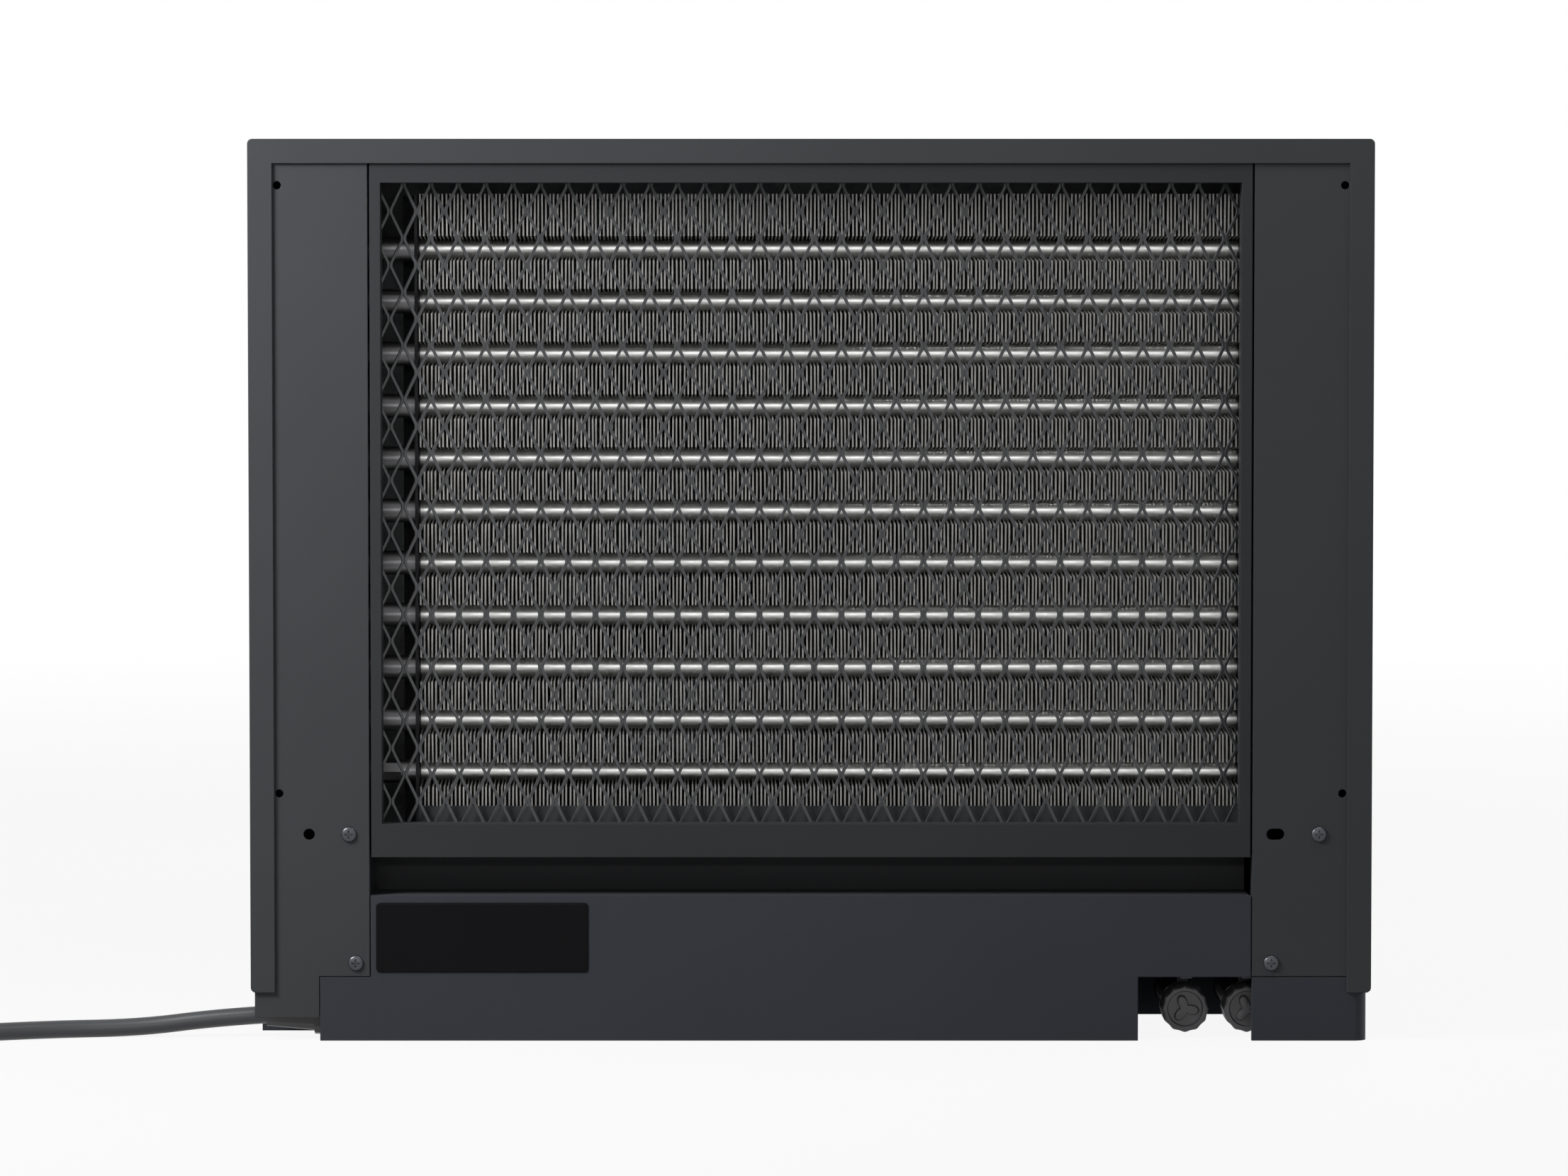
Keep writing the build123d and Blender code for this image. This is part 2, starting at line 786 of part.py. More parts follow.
# Bulkhead between the hot and the cold side
with BuildPart() as bulkhead:
    with BuildSketch(facing(bulkhead_y)):
        with Locations((0, (pan_sheet + panel_top) / 2)):
            Rectangle(2 * (pan_half - pan_sheet - fit), panel_top - pan_sheet)
        with Locations((0, shaft_height)):
            Circle(2 * shaft_radius, mode=Mode.SUBTRACT)
        with Locations((accumulator_x, evap_top_run), (-line_x, low_run)):
            Circle(line_radius + line_hole_gap, mode=Mode.SUBTRACT)
    extrude(amount=-sheet)

# Compressor on rubber feet, with its accumulator and terminal cover
with BuildPart() as compressor:
    shell_edge = compressor_x + compressor_radius
    shell_top = foot_height + compressor_height
    dome_steps = [radians(angle) for angle in (0, 30, 60)]
    dome_x = [compressor_x + compressor_radius * cos(angle) for angle in dome_steps]
    dome_z = [shell_top - compressor_dome * (1 - sin(angle)) for angle in dome_steps]
    with BuildSketch(facing(compressor_y)):
        with BuildLine():
            Polyline(
                (compressor_x, shell_top),
                (compressor_x, foot_height),
                (shell_edge - shell_bevel, foot_height),
                (shell_edge, foot_height + shell_bevel),
                *zip(dome_x, dome_z),
                (compressor_x + shell_crown, shell_top),
                close=True,
            )
        make_face()
    revolve(axis=Axis((compressor_x, compressor_y, 0), (0, 0, 1)))
    with BuildSketch(Plane.XY.offset(foot_height)):
        with Locations((compressor_x, compressor_y)):
            RegularPolygon(foot_reach + foot_margin, 3, rotation=30)
            fillet(vertices(), foot_round)
            with PolarLocations(foot_reach, 3, start_angle=90):
                Circle(stud_radius + fit, mode=Mode.SUBTRACT)
    extrude(amount=foot_sheet)

foot_places = tuple(
    (compressor_x + foot_reach * cos(radians(angle)), compressor_y + foot_reach * sin(radians(angle)))
    for angle in (90, 210, 330)
)

with BuildPart() as compressor_grommets:
    with BuildSketch(Plane.XY.offset(pan_sheet)):
        with Locations(*foot_places):
            RegularPolygon(grommet_radius, screw_sides)
            RegularPolygon(grommet_bore, screw_sides, mode=Mode.SUBTRACT)
    extrude(amount=grommet_height)

with BuildPart() as compressor_studs:
    with BuildSketch(Plane.XY.offset(pan_sheet)):
        with Locations(*foot_places):
            RegularPolygon(stud_radius, screw_sides)
    extrude(amount=grommet_height + foot_sheet + nut_height)
    with BuildSketch(Plane.XY.offset(foot_height + foot_sheet)):
        with Locations(*foot_places):
            RegularPolygon(nut_flats / 2, 6, major_radius=False)
    extrude(amount=nut_height)

with BuildPart() as terminal_cover:
    block(
        (compressor_x - terminal_half, compressor_x + terminal_half),
        (compressor_y + 0.9 * compressor_radius, compressor_y + compressor_radius + terminal_out),
        (foot_height + terminal_foot, foot_height + terminal_foot + terminal_height),
    )
    fillet(terminal_cover.edges().filter_by(Axis.Z).sort_by(Axis.Y)[-2:], terminal_round)
    with Locations((compressor_x, compressor_y, foot_height + compressor_height / 2)):
        Cylinder(compressor_radius + fit, compressor_height, mode=Mode.SUBTRACT)

with BuildPart() as accumulator:
    with BuildSketch(Plane.XY.offset(accumulator_low)):
        with Locations((accumulator_x, accumulator_y)):
            RegularPolygon(accumulator_radius, vessel_sides)
    extrude(amount=accumulator_height)
    chamfer(accumulator.faces().filter_by(Axis.Z).edges(), accumulator_bevel)
    reach = Vector(accumulator_out, -accumulator_back, 0)
    arm_plane = Plane((compressor_x, compressor_y, foot_height + arm_foot), x_dir=reach, z_dir=(0, 0, 1))
    with BuildSketch(arm_plane):
        with Locations(((compressor_radius + fit + reach.length) / 2, 0)):
            Rectangle(reach.length - compressor_radius - fit, arm_width)
    extrude(amount=arm_height)
    with Locations((compressor_x, compressor_y, foot_height + compressor_height / 2)):
        Cylinder(compressor_radius + fit, compressor_height, mode=Mode.SUBTRACT)

# Refrigerant lines: straight runs with round bends
with BuildPart() as discharge_line:
    with BuildLine() as discharge_path:
        route = [
            (compressor_x, compressor_y, shell_top),
            (compressor_x, compressor_y, top_run),
            (line_x, compressor_y, top_run),
            (line_x, coil_y, top_run),
            (coil_right + coil_stub, coil_y, top_run),
        ]
        Polyline(*bent(route, line_bend))
    with BuildSketch(Plane(discharge_path.line @ 0, z_dir=discharge_path.line % 0)):
        RegularPolygon(line_radius, pipe_sides)
    sweep(path=discharge_path.line, transition=Transition.RIGHT)

with BuildPart() as suction_line:
    with BuildLine() as suction_path:
        route = [
            (accumulator_x, accumulator_y, accumulator_low + accumulator_height),
            (accumulator_x, accumulator_y, evap_top_run),
            (accumulator_x, evap_y, evap_top_run),
            (evap_half + evap_margin, evap_y, evap_top_run),
        ]
        Polyline(*bent(route, line_bend))
    with BuildSketch(Plane(suction_path.line @ 0, z_dir=suction_path.line % 0)):
        RegularPolygon(line_radius, pipe_sides)
    sweep(path=suction_path.line, transition=Transition.RIGHT)

with BuildPart() as liquid_line:
    with BuildLine() as liquid_path:
        route = [
            (coil_left - coil_stub, coil_y, low_run),
            (-line_x, coil_y, low_run),
            (-line_x, compressor_y - drier_length / 2, low_run),
        ]
        Polyline(*bent(route, line_bend))
    with BuildSketch(Plane(liquid_path.line @ 0, z_dir=liquid_path.line % 0)):
        RegularPolygon(line_radius, pipe_sides)
    sweep(path=liquid_path.line, transition=Transition.RIGHT)

with BuildPart() as filter_drier:
    with BuildSketch(facing(compressor_y - drier_length / 2)):
        with Locations((-line_x, low_run)):
            RegularPolygon(drier_radius, vessel_sides)
    extrude(amount=-drier_length)
    chamfer(filter_drier.faces().filter_by(Axis.Y).edges(), drier_bevel)

with BuildPart() as capillary:
    with BuildLine() as capillary_path:
        route = [
            (-line_x, compressor_y + drier_length / 2, low_run),
            (-line_x, evap_y, low_run),
            (-line_x, evap_y, evap_low_run),
            (-evap_half - evap_margin, evap_y, evap_low_run),
        ]
        Polyline(*bent(route, line_bend))
    with BuildSketch(Plane(capillary_path.line @ 0, z_dir=capillary_path.line % 0)):
        RegularPolygon(capillary_radius, pipe_sides)
    sweep(path=capillary_path.line, transition=Transition.RIGHT)

# Blower housing: a scroll that opens into the supply duct at its top
scroll_left = -(blower_radius + scroll_gap)
scroll_right = blower_radius + scroll_gap + scroll_growth
with BuildPart() as blower_housing:
    with BuildSketch(facing(blower_front)):
        with BuildLine():
            Line((scroll_left, throat_top), (scroll_left, shaft_height))
            CenterArc((0, shaft_height), -scroll_left, 180, 90)
            CenterArc((0, shaft_height + scroll_growth), scroll_right, 270, 90)
            Line((scroll_right, shaft_height + scroll_growth), (scroll_right, throat_top))
            Line((scroll_right, throat_top), (scroll_left, throat_top))
        make_face()
    extrude(amount=-scroll_depth)
    offset(amount=-scroll_sheet, openings=blower_housing.faces().sort_by(Axis.Y)[-1])
    with BuildSketch(facing(blower_front + scroll_depth)):
        with BuildLine():
            Line((scroll_left, throat_top - throat_drop), (scroll_left, shaft_height))
            CenterArc((0, shaft_height), -scroll_left, 180, 90)
            CenterArc((0, shaft_height + scroll_growth), scroll_right, 270, 90)
            Line((scroll_right, shaft_height + scroll_growth), (scroll_right, throat_top - throat_drop))
            Line((scroll_right, throat_top - throat_drop), (scroll_left, throat_top - throat_drop))
        make_face()
        with Locations((0, shaft_height)):
            Circle(inlet_radius, mode=Mode.SUBTRACT)
    extrude(amount=scroll_sheet)
    with BuildSketch(facing(blower_front)):
        with Locations((0, shaft_height)):
            Circle(3.5 * shaft_radius)
    extrude(amount=-scroll_sheet, mode=Mode.SUBTRACT)
    for side in (scroll_left, scroll_right - bracket_width):
        block(
            (side, side + bracket_width),
            (bulkhead_y + sheet, blower_front + scroll_sheet),
            (throat_top - bracket_drop, throat_top - bracket_drop + scroll_sheet),
        )
        block(
            (side, side + bracket_width),
            (bulkhead_y + sheet, blower_front + scroll_sheet),
            (shaft_height, shaft_height + scroll_sheet),
        )

duct_start = blower_front + scroll_depth
supply_z = (supply_middle - supply_height / 2, supply_middle + supply_height / 2)
with BuildPart() as supply_duct:
    for inset, mode in ((0, Mode.ADD), (scroll_sheet, Mode.SUBTRACT)):
        with BuildSketch(facing(duct_start)):
            with Locations(((scroll_left + scroll_right) / 2, throat_top - throat_drop / 2)):
                Rectangle(scroll_right - scroll_left - 2 * inset, throat_drop - 2 * inset)
        with BuildSketch(facing(collar_front)):
            with Locations((0, supply_middle)):
                Rectangle(2 * (supply_half + panel_rim - inset), supply_height + 2 * (panel_rim - inset))
        loft(ruled=True, mode=mode)

# Evaporator in its condensate tray
with BuildPart() as condensate_tray:
    block(
        (-evap_half - tray_margin, evap_half + tray_margin),
        (evap_front - tray_margin, evap_front + evap_depth + tray_margin),
        (pan_sheet, pan_sheet + tray_height),
    )
    fillet(condensate_tray.edges().filter_by(Axis.Z), tray_round)
    offset(amount=-tray_sheet, openings=condensate_tray.faces().sort_by(Axis.Z)[-1])

with BuildPart() as evaporator_fins:
    with Locations((0, evap_y, (evap_low + evap_high) / 2)):
        with GridLocations((2 * evap_half - fin_sheet) / (evap_fins - 1), 1, evap_fins, 1):
            Box(fin_sheet, evap_depth, evap_high - evap_low)

with BuildPart() as evaporator_tube:
    with BuildLine(facing(evap_y)) as evaporator_path:
        end = evap_half + 2 * sheet
        stub = evap_half + evap_margin
        Polyline(*serpentine(evap_runs, -end, end, evap_top_run, evap_pitch, stub, -stub))
    with BuildSketch(Plane(evaporator_path.line @ 0, z_dir=evaporator_path.line % 0)):
        RegularPolygon(tube_radius, pipe_sides)
    sweep(path=evaporator_path.line, transition=Transition.RIGHT)

with BuildPart() as evaporator_end_plates:
    for side in (-1, 1):
        plate = sorted((side * evap_half, side * (evap_half + sheet)))
        block(plate, (evap_front, evap_front + evap_depth), (evap_low, evap_high))

# Control box on the bulkhead, with capacitor and control board
box_x = (inside_half - fit - box_width, inside_half - fit)
box_y = (bulkhead_y + sheet, bulkhead_y + sheet + box_length)
with BuildPart() as control_box:
    block(box_x, box_y, (box_bottom, box_top))
    offset(amount=-box_sheet, openings=control_box.faces().sort_by(Axis.X)[-1])

with BuildPart() as run_capacitor:
    with BuildSketch(Plane.XY.offset(box_bottom + box_sheet)):
        with Locations((sum(box_x) / 2, box_y[0] + box_sheet + 1.6 * capacitor_radius)):
            SlotOverall(3 * capacitor_radius, 1.9 * capacitor_radius, rotation=90)
    extrude(amount=capacitor_height)
    for post in (-1, 1):
        with BuildSketch(Plane.XY.offset(box_bottom + box_sheet + capacitor_height)):
            with Locations((sum(box_x) / 2, box_y[0] + box_sheet + (1.6 + 0.5 * post) * capacitor_radius)):
                Rectangle(tab_width, tab_sheet)
        extrude(amount=tab_height)

with BuildPart() as control_board:
    board_x = box_x[0] + box_sheet + standoff
    board_end = box_y[1] - box_sheet - board_inset
    board_y = (board_end - board_length, board_end)
    board_z = (box_bottom + board_foot, box_top - board_head)
    block((board_x, board_x + board_sheet), board_y, board_z)
    with BuildSketch(Plane.YZ.offset(box_x[0] + box_sheet)):
        with Locations((sum(board_y) / 2, sum(board_z) / 2)):
            with GridLocations(
                board_length - 2 * standoff_inset, board_z[1] - board_z[0] - 2 * standoff_inset, 2, 2
            ):
                Rectangle(standoff, standoff)
    extrude(amount=standoff)
    transformer_at = (board_y[0] + transformer_inset, board_z[0] + transformer_inset)
    block(
        (board_x, board_x + transformer_x),
        (transformer_at[0], transformer_at[0] + transformer_y),
        (transformer_at[1], transformer_at[1] + transformer_z),
    )

# Rear panel: moulded bezel with supply collar, return collar and control places
with BuildPart() as rear_panel:
    panel_x = (-pan_half, pan_half)
    panel_z = (pan_wall, panel_top)
    with BuildSketch(facing(rear)):
        with Locations((0, sum(panel_z) / 2)):
            Rectangle(2 * pan_half, panel_z[1] - panel_z[0])
    extrude(amount=panel_sheet)
    with BuildSketch(facing(panel_front)):
        frame_of(
            panel_x,
            panel_z,
            (panel_x[0] + panel_rim, panel_x[1] - panel_rim),
            (panel_z[0] + panel_rim, panel_z[1] - panel_rim),
        )
    extrude(amount=panel_depth - panel_sheet)
    with BuildSketch(facing(rear)):
        with Locations((0, supply_middle)):
            Rectangle(2 * (supply_half + panel_rim), supply_height + 2 * panel_rim)
    extrude(amount=collar_depth)
    for side in (-1, 1):
        collar = sorted((side * return_half, side * (return_half + panel_rim)))
        block(collar, (return_front, panel_front), (return_bottom, return_top))
    block((-supply_half, supply_half), (collar_front, rear), supply_z, mode=Mode.SUBTRACT)
    block((-return_half, return_half), (panel_front, rear), (return_bottom, return_top), mode=Mode.SUBTRACT)
    with BuildSketch(facing(rear)):
        with Locations((button_x, button_low + button_pitch * (button_count - 1) / 2)):
            with GridLocations(1, button_pitch, 1, button_count):
                Rectangle(button_size, button_size)
        with Locations((button_x, window_z)):
            Rectangle(window_width, window_height)
    extrude(amount=panel_sheet, mode=Mode.SUBTRACT)
    with BuildSketch(Plane.YZ):
        for vane in range(vane_count):
            with Locations((vane_y, supply_middle + vane_pitch * (vane - (vane_count - 1) / 2))):
                Circle(vane_pin + pin_clearance)
    extrude(amount=supply_half + pin_socket, both=True, mode=Mode.SUBTRACT)
    door_pivot_y = rear - door_pivot_in
    door_low = return_bottom + door_foot_gap
    door_pivot_z = door_low + door_pivot_up
    with BuildSketch(Plane.YZ):
        with Locations((door_pivot_y, door_pivot_z)):
            Circle(door_pin + pin_clearance)
    extrude(amount=return_half + pin_socket, both=True, mode=Mode.SUBTRACT)

# Return door: slatted grille that drops open on two pins at its foot
with BuildPart() as return_door:
    door_half = return_half - door_gap
    door_z = (door_low, return_top - door_gap)
    with BuildSketch(facing(rear)):
        with Locations((0, sum(door_z) / 2)):
            Rectangle(2 * door_half, door_z[1] - door_z[0])
            with GridLocations(1, door_slot_pitch, 1, door_slots):
                Rectangle(2 * (door_half - door_margin), door_slot_height, mode=Mode.SUBTRACT)
    extrude(amount=panel_sheet)
    for side in (-1, 1):
        ear = sorted((side * door_half, side * (door_half - door_ear)))
        block(ear, (door_pivot_y - door_ear_half, panel_front), (door_low, door_pivot_z + door_ear_half))
    with BuildSketch(Plane.YZ):
        with Locations((door_pivot_y, door_pivot_z)):
            Circle(door_pin)
    extrude(amount=return_half + door_pin_length, both=True)
    block(
        (-door_half + door_ear, door_half - door_ear),
        (door_pivot_y - door_ear_half, panel_front),
        (door_low, door_pivot_z + door_ear_half),
        mode=Mode.SUBTRACT,
    )

# Return filter: a flat pad behind the return collar
with BuildPart() as return_filter:
    block(
        (-return_half - panel_rim, return_half + panel_rim),
        (return_front - fit - filter_sheet, return_front - fit),
        (panel_z[0] + panel_rim, return_top),
    )

# Supply vanes on end pins, with one link that tilts them together
vanes = []
for vane in range(vane_count):
    level = supply_middle + vane_pitch * (vane - (vane_count - 1) / 2)
    with BuildPart() as supply_vane:
        with BuildSketch(Plane.YZ):
            with Locations((vane_y, level)):
                Rectangle(vane_chord, vane_sheet)
        extrude(amount=supply_half - vane_end_gap, both=True)
        with BuildSketch(Plane.YZ):
            with Locations((vane_y, level)):
                Circle(vane_pin)
        extrude(amount=supply_half + vane_pin_length, both=True)
        block(
            (link_at - link_slot / 2, link_at + link_slot / 2),
            (vane_y - vane_chord / 2, vane_y - vane_pin),
            (level - vane_sheet, level + vane_sheet),
            mode=Mode.SUBTRACT,
        )
        with BuildSketch(Plane.YZ.offset(link_at - link_slot / 2)):
            with Locations((vane_y - link_arm, level)):
                Circle(link_pin)
        extrude(amount=link_slot)
    vanes.append(supply_vane)

with BuildPart() as vane_link:
    with BuildSketch(Plane.YZ.offset(link_at - link_sheet / 2)):
        with Locations((vane_y - link_arm, supply_middle)):
            SlotOverall(vane_pitch * (vane_count - 1) + link_width, link_width, rotation=90)
            with GridLocations(1, vane_pitch, 1, vane_count):
                Circle(link_pin + pin_clearance, mode=Mode.SUBTRACT)
    extrude(amount=link_sheet)

# Display window and push buttons
with BuildPart() as display_window:
    with BuildSketch(facing(rear)):
        with Locations((button_x, window_z)):
            Rectangle(window_width - 2 * button_gap, window_height - 2 * button_gap)
    extrude(amount=panel_sheet)
    with BuildSketch(facing(panel_front)):
        with Locations((button_x, window_z)):
            Rectangle(window_width + 2 * window_overlap, window_height + 2 * window_overlap)
    extrude(amount=window_sheet)

buttons = []
for button in range(button_count):
    with BuildPart() as push_button:
        with BuildSketch(facing(rear)):
            with Locations((button_x, button_low + button_pitch * button)):
                Rectangle(button_size - 2 * button_gap, button_size - 2 * button_gap)
        extrude(amount=button_length)
        chamfer(push_button.faces().sort_by(Axis.Y)[-1].edges(), button_bevel)
        with BuildSketch(facing(panel_front - fit)):
            with Locations((button_x, button_low + button_pitch * button)):
                Rectangle(button_size + 2 * button_overlap, button_size + 2 * button_overlap)
        extrude(amount=button_flange)
    buttons.append(push_button)

# Drain spouts through the pocket wall, two ribbed caps and the straps that keep them
spout_root = pan_front + drain_depth
cap_mouth = pan_front + cap_set_back + cap_length
spout_tip = cap_mouth - cap_length + cap_wall + cap_end_gap
with BuildPart() as drain_spouts:
    with BuildSketch(facing(spout_root)):
        with Locations(*((x, spout_height) for x in spout_places)):
            RegularPolygon(spout_radius, spout_sides)
            RegularPolygon(spout_bore, spout_sides, mode=Mode.SUBTRACT)
    extrude(amount=spout_root - spout_tip)
    with BuildSketch(facing(spout_root)):
        with Locations(*((x, spout_height) for x in spout_places)):
            RegularPolygon(spout_radius, spout_sides)
            RegularPolygon(spout_bore, spout_sides, mode=Mode.SUBTRACT)
    extrude(amount=-2 * pan_sheet)

caps = []
for place in spout_places:
    with BuildPart() as drain_cap:
        with BuildSketch(facing(cap_mouth)):
            with Locations((place, spout_height)):
                RegularPolygon(cap_radius, cap_ribs)
                RegularPolygon(cap_radius, cap_ribs, rotation=180 / cap_ribs)
        extrude(amount=cap_length)
        with BuildSketch(facing(cap_mouth)):
            with Locations((place, spout_height)):
                RegularPolygon(spout_radius + cap_clearance, spout_sides, major_radius=False)
        extrude(amount=cap_length - cap_wall, mode=Mode.SUBTRACT)
    caps.append(drain_cap)

with BuildPart() as cap_straps:
    strap_z = pan_wall - fit
    strap_back = cap_mouth + fit + strap_sheet
    for place in spout_places:
        with BuildSketch(facing(strap_back)):
            with Locations((place, (spout_height + strap_z) / 2)):
                Rectangle(strap_width, strap_z - spout_height)
            with Locations((place, spout_height)):
                RegularPolygon(cap_radius, spout_sides)
                RegularPolygon(spout_radius + fit, spout_sides, mode=Mode.SUBTRACT)
        extrude(amount=strap_sheet)
        block(
            (place - strap_width / 2, place + strap_width / 2),
            (pan_front + strap_set_back, strap_back),
            (strap_z - strap_sheet, strap_z),
        )

# Mains lead: gland, free stretch, stored coil with its tie, short tail and plug
with BuildPart() as cord_gland:
    with BuildSketch(Plane.YZ.offset(cord_notch_edge)):
        with Locations((gland_y, gland_height)):
            RegularPolygon(gland_flange, cord_sides)
    extrude(amount=-gland_flange_sheet)
    with BuildSketch(Plane.YZ.offset(cord_notch_edge - gland_flange_sheet)):
        with Locations((gland_y, gland_height)):
            RegularPolygon(gland_root, cord_sides)
    extrude(amount=-gland_length, taper=gland_taper)
    with BuildSketch(Plane.YZ.offset(cord_notch_edge)):
        with Locations((gland_y, gland_height)):
            RegularPolygon(gland_tip, cord_sides)
    extrude(amount=3 * pan_sheet)

lead_points = [
    (gland_end, gland_y, gland_height),
    (gland_end - 20.0, gland_y - 0.5, 7.4),
    (gland_end - 50.0, gland_y - 1.5, floor_line),
    (-width / 2 - 81.0, face + 6.8, floor_line),
    (-width / 2 - 119.0, face - 9.7, floor_line),
    (coil_centre[0], coil_centre[1] - coil_radius - cord_radius, floor_line),
]
coil_top_line = (2 * coil_layers - 1) * cord_radius + floor_gap
tail_x = coil_centre[0] - coil_radius - cord_radius
tail_points = [
    (tail_x, coil_centre[1], coil_top_line),
    (tail_x + 0.6, coil_centre[1] + 22.0, coil_top_line - 1.2),
    (tail_x + 1.4, coil_centre[1] + 48.0, plug_height / 2 + 2.4),
    (tail_x + 1.0, plug_y, plug_height / 2 + floor_gap),
]


def bend_radii(points):
    """Give the largest round bend for each inner point of a lead."""
    radii = []
    for before, here, after in zip(points, points[1:], points[2:]):
        arriving = Vector(*here) - Vector(*before)
        leaving = Vector(*after) - Vector(*here)
        half_turn = radians(arriving.get_angle(leaving)) / 2
        radii.append(0.45 * min(arriving.length, leaving.length) / tan(half_turn))
    return radii


lead_radii = bend_radii(lead_points)
tail_radii = bend_radii(tail_points)

with BuildPart() as power_cord:
    with BuildLine() as lead_path:
        FilletPolyline(*lead_points, radius=lead_radii)
    with BuildSketch(Plane(lead_path.line @ 0, z_dir=lead_path.line % 0)):
        RegularPolygon(cord_radius, cord_sides)
    sweep(path=lead_path.line)

with BuildPart() as cord_tail:
    with BuildLine() as tail_path:
        FilletPolyline(*tail_points, radius=tail_radii)
    with BuildSketch(Plane(tail_path.line @ 0, z_dir=tail_path.line % 0)):
        RegularPolygon(cord_radius, cord_sides)
    sweep(path=tail_path.line)

coil_outer = coil_radius + 2 * cord_radius + floor_gap
coil_inner = coil_radius - 2 * cord_radius - floor_gap
coil_height = 2 * cord_radius * coil_layers + floor_gap
with BuildPart() as cord_coil:
    with BuildSketch(Plane.XY.offset(floor_gap)):
        with Locations(coil_centre):
            RegularPolygon(coil_outer, coil_sides, major_radius=False)
            RegularPolygon(coil_inner, coil_sides, mode=Mode.SUBTRACT)
    extrude(amount=coil_height)

with BuildPart() as cord_tie:
    with BuildSketch(Plane.XZ.offset(-coil_centre[1])):
        with Locations((coil_centre[0] + coil_radius, floor_gap + (coil_height + fit + tie_sheet) / 2)):
            Rectangle(coil_outer - coil_inner + 2 * (tie_gap + tie_sheet), coil_height + fit + tie_sheet)
        with Locations((coil_centre[0] + coil_radius, floor_gap + (coil_height + fit) / 2)):
            Rectangle(coil_outer - coil_inner + 2 * tie_gap, coil_height + fit, mode=Mode.SUBTRACT)
    extrude(amount=tie_width / 2, both=True)

with BuildPart() as plug:
    plug_x = tail_points[-1][0]
    plug_z = plug_height / 2 + floor_gap
    with BuildSketch(facing(plug_y)):
        with Locations((plug_x, plug_z)):
            RegularPolygon(plug_neck_root, cord_sides)
    with BuildSketch(facing(plug_y + plug_neck)):
        with Locations((plug_x, plug_z)):
            RegularPolygon(plug_neck_mouth, cord_sides)
    loft(ruled=True)
    with BuildSketch(facing(plug_y + plug_neck)):
        with Locations((plug_x, plug_z)):
            RectangleRounded(plug_width, plug_height, plug_round)
    extrude(amount=-plug_length)
    plug_face = plug_y + plug_neck + plug_length
    with BuildSketch(facing(plug_face)):
        with Locations((plug_x, plug_z + blade_rise)):
            with GridLocations(blade_pitch, 1, 2, 1):
                Rectangle(blade_thick, blade_width)
        with Locations((plug_x, plug_z - earth_drop)):
            RegularPolygon(earth_radius, cord_sides)
    extrude(amount=-blade_length)

# Every piece gets its name and a file of its own
pieces = {
    "base_pan": base_pan,
    "cover": cover,
    "left_post": left_post,
    "right_post": right_post,
    "post_screws": post_screws,
    "grille_frame": grille_frame,
    "guard_mesh": guard_mesh,
    "slot_channel": slot_channel,
    "condenser_fins": condenser_fins,
    "condenser_tube": condenser_tube,
    "condenser_end_plates": condenser_end_plates,
    "fan_shroud": fan_shroud,
    "motor_shaft": motor_shaft,
    "condenser_fan": condenser_fan,
    "blower_wheel": blower_wheel,
    "fan_motor": fan_motor,
    "motor_saddle": motor_saddle,
    "bulkhead": bulkhead,
    "compressor": compressor,
    "compressor_grommets": compressor_grommets,
    "compressor_studs": compressor_studs,
    "terminal_cover": terminal_cover,
    "accumulator": accumulator,
    "discharge_line": discharge_line,
    "suction_line": suction_line,
    "liquid_line": liquid_line,
    "filter_drier": filter_drier,
    "capillary": capillary,
    "blower_housing": blower_housing,
    "supply_duct": supply_duct,
    "condensate_tray": condensate_tray,
    "evaporator_fins": evaporator_fins,
    "evaporator_tube": evaporator_tube,
    "evaporator_end_plates": evaporator_end_plates,
    "control_box": control_box,
    "run_capacitor": run_capacitor,
    "control_board": control_board,
    "rear_panel": rear_panel,
    "return_door": return_door,
    "return_filter": return_filter,
    "vane_link": vane_link,
    "display_window": display_window,
    "drain_spouts": drain_spouts,
    "cap_straps": cap_straps,
    "cord_gland": cord_gland,
    "power_cord": power_cord,
    "cord_coil": cord_coil,
    "cord_tie": cord_tie,
    "cord_tail": cord_tail,
    "plug": plug,
}
for number, supply_vane in enumerate(vanes, 1):
    pieces[f"supply_vane_{number}"] = supply_vane
for number, push_button in enumerate(buttons, 1):
    pieces[f"push_button_{number}"] = push_button
for number, drain_cap in enumerate(caps, 1):
    pieces[f"drain_cap_{number}"] = drain_cap
for name, piece in pieces.items():
    piece.part.label = name
    export_step(piece.part, f"parts/{name}.step")
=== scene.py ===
"""Looks of a rack-mounted air conditioner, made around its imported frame.

Lengths are in metres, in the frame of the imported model: the mesh face looks along -Y,
+X is to its right, +Z is up and the origin is at the middle of the underside.
"""

import logging
import math
from dataclasses import dataclass
from enum import Enum

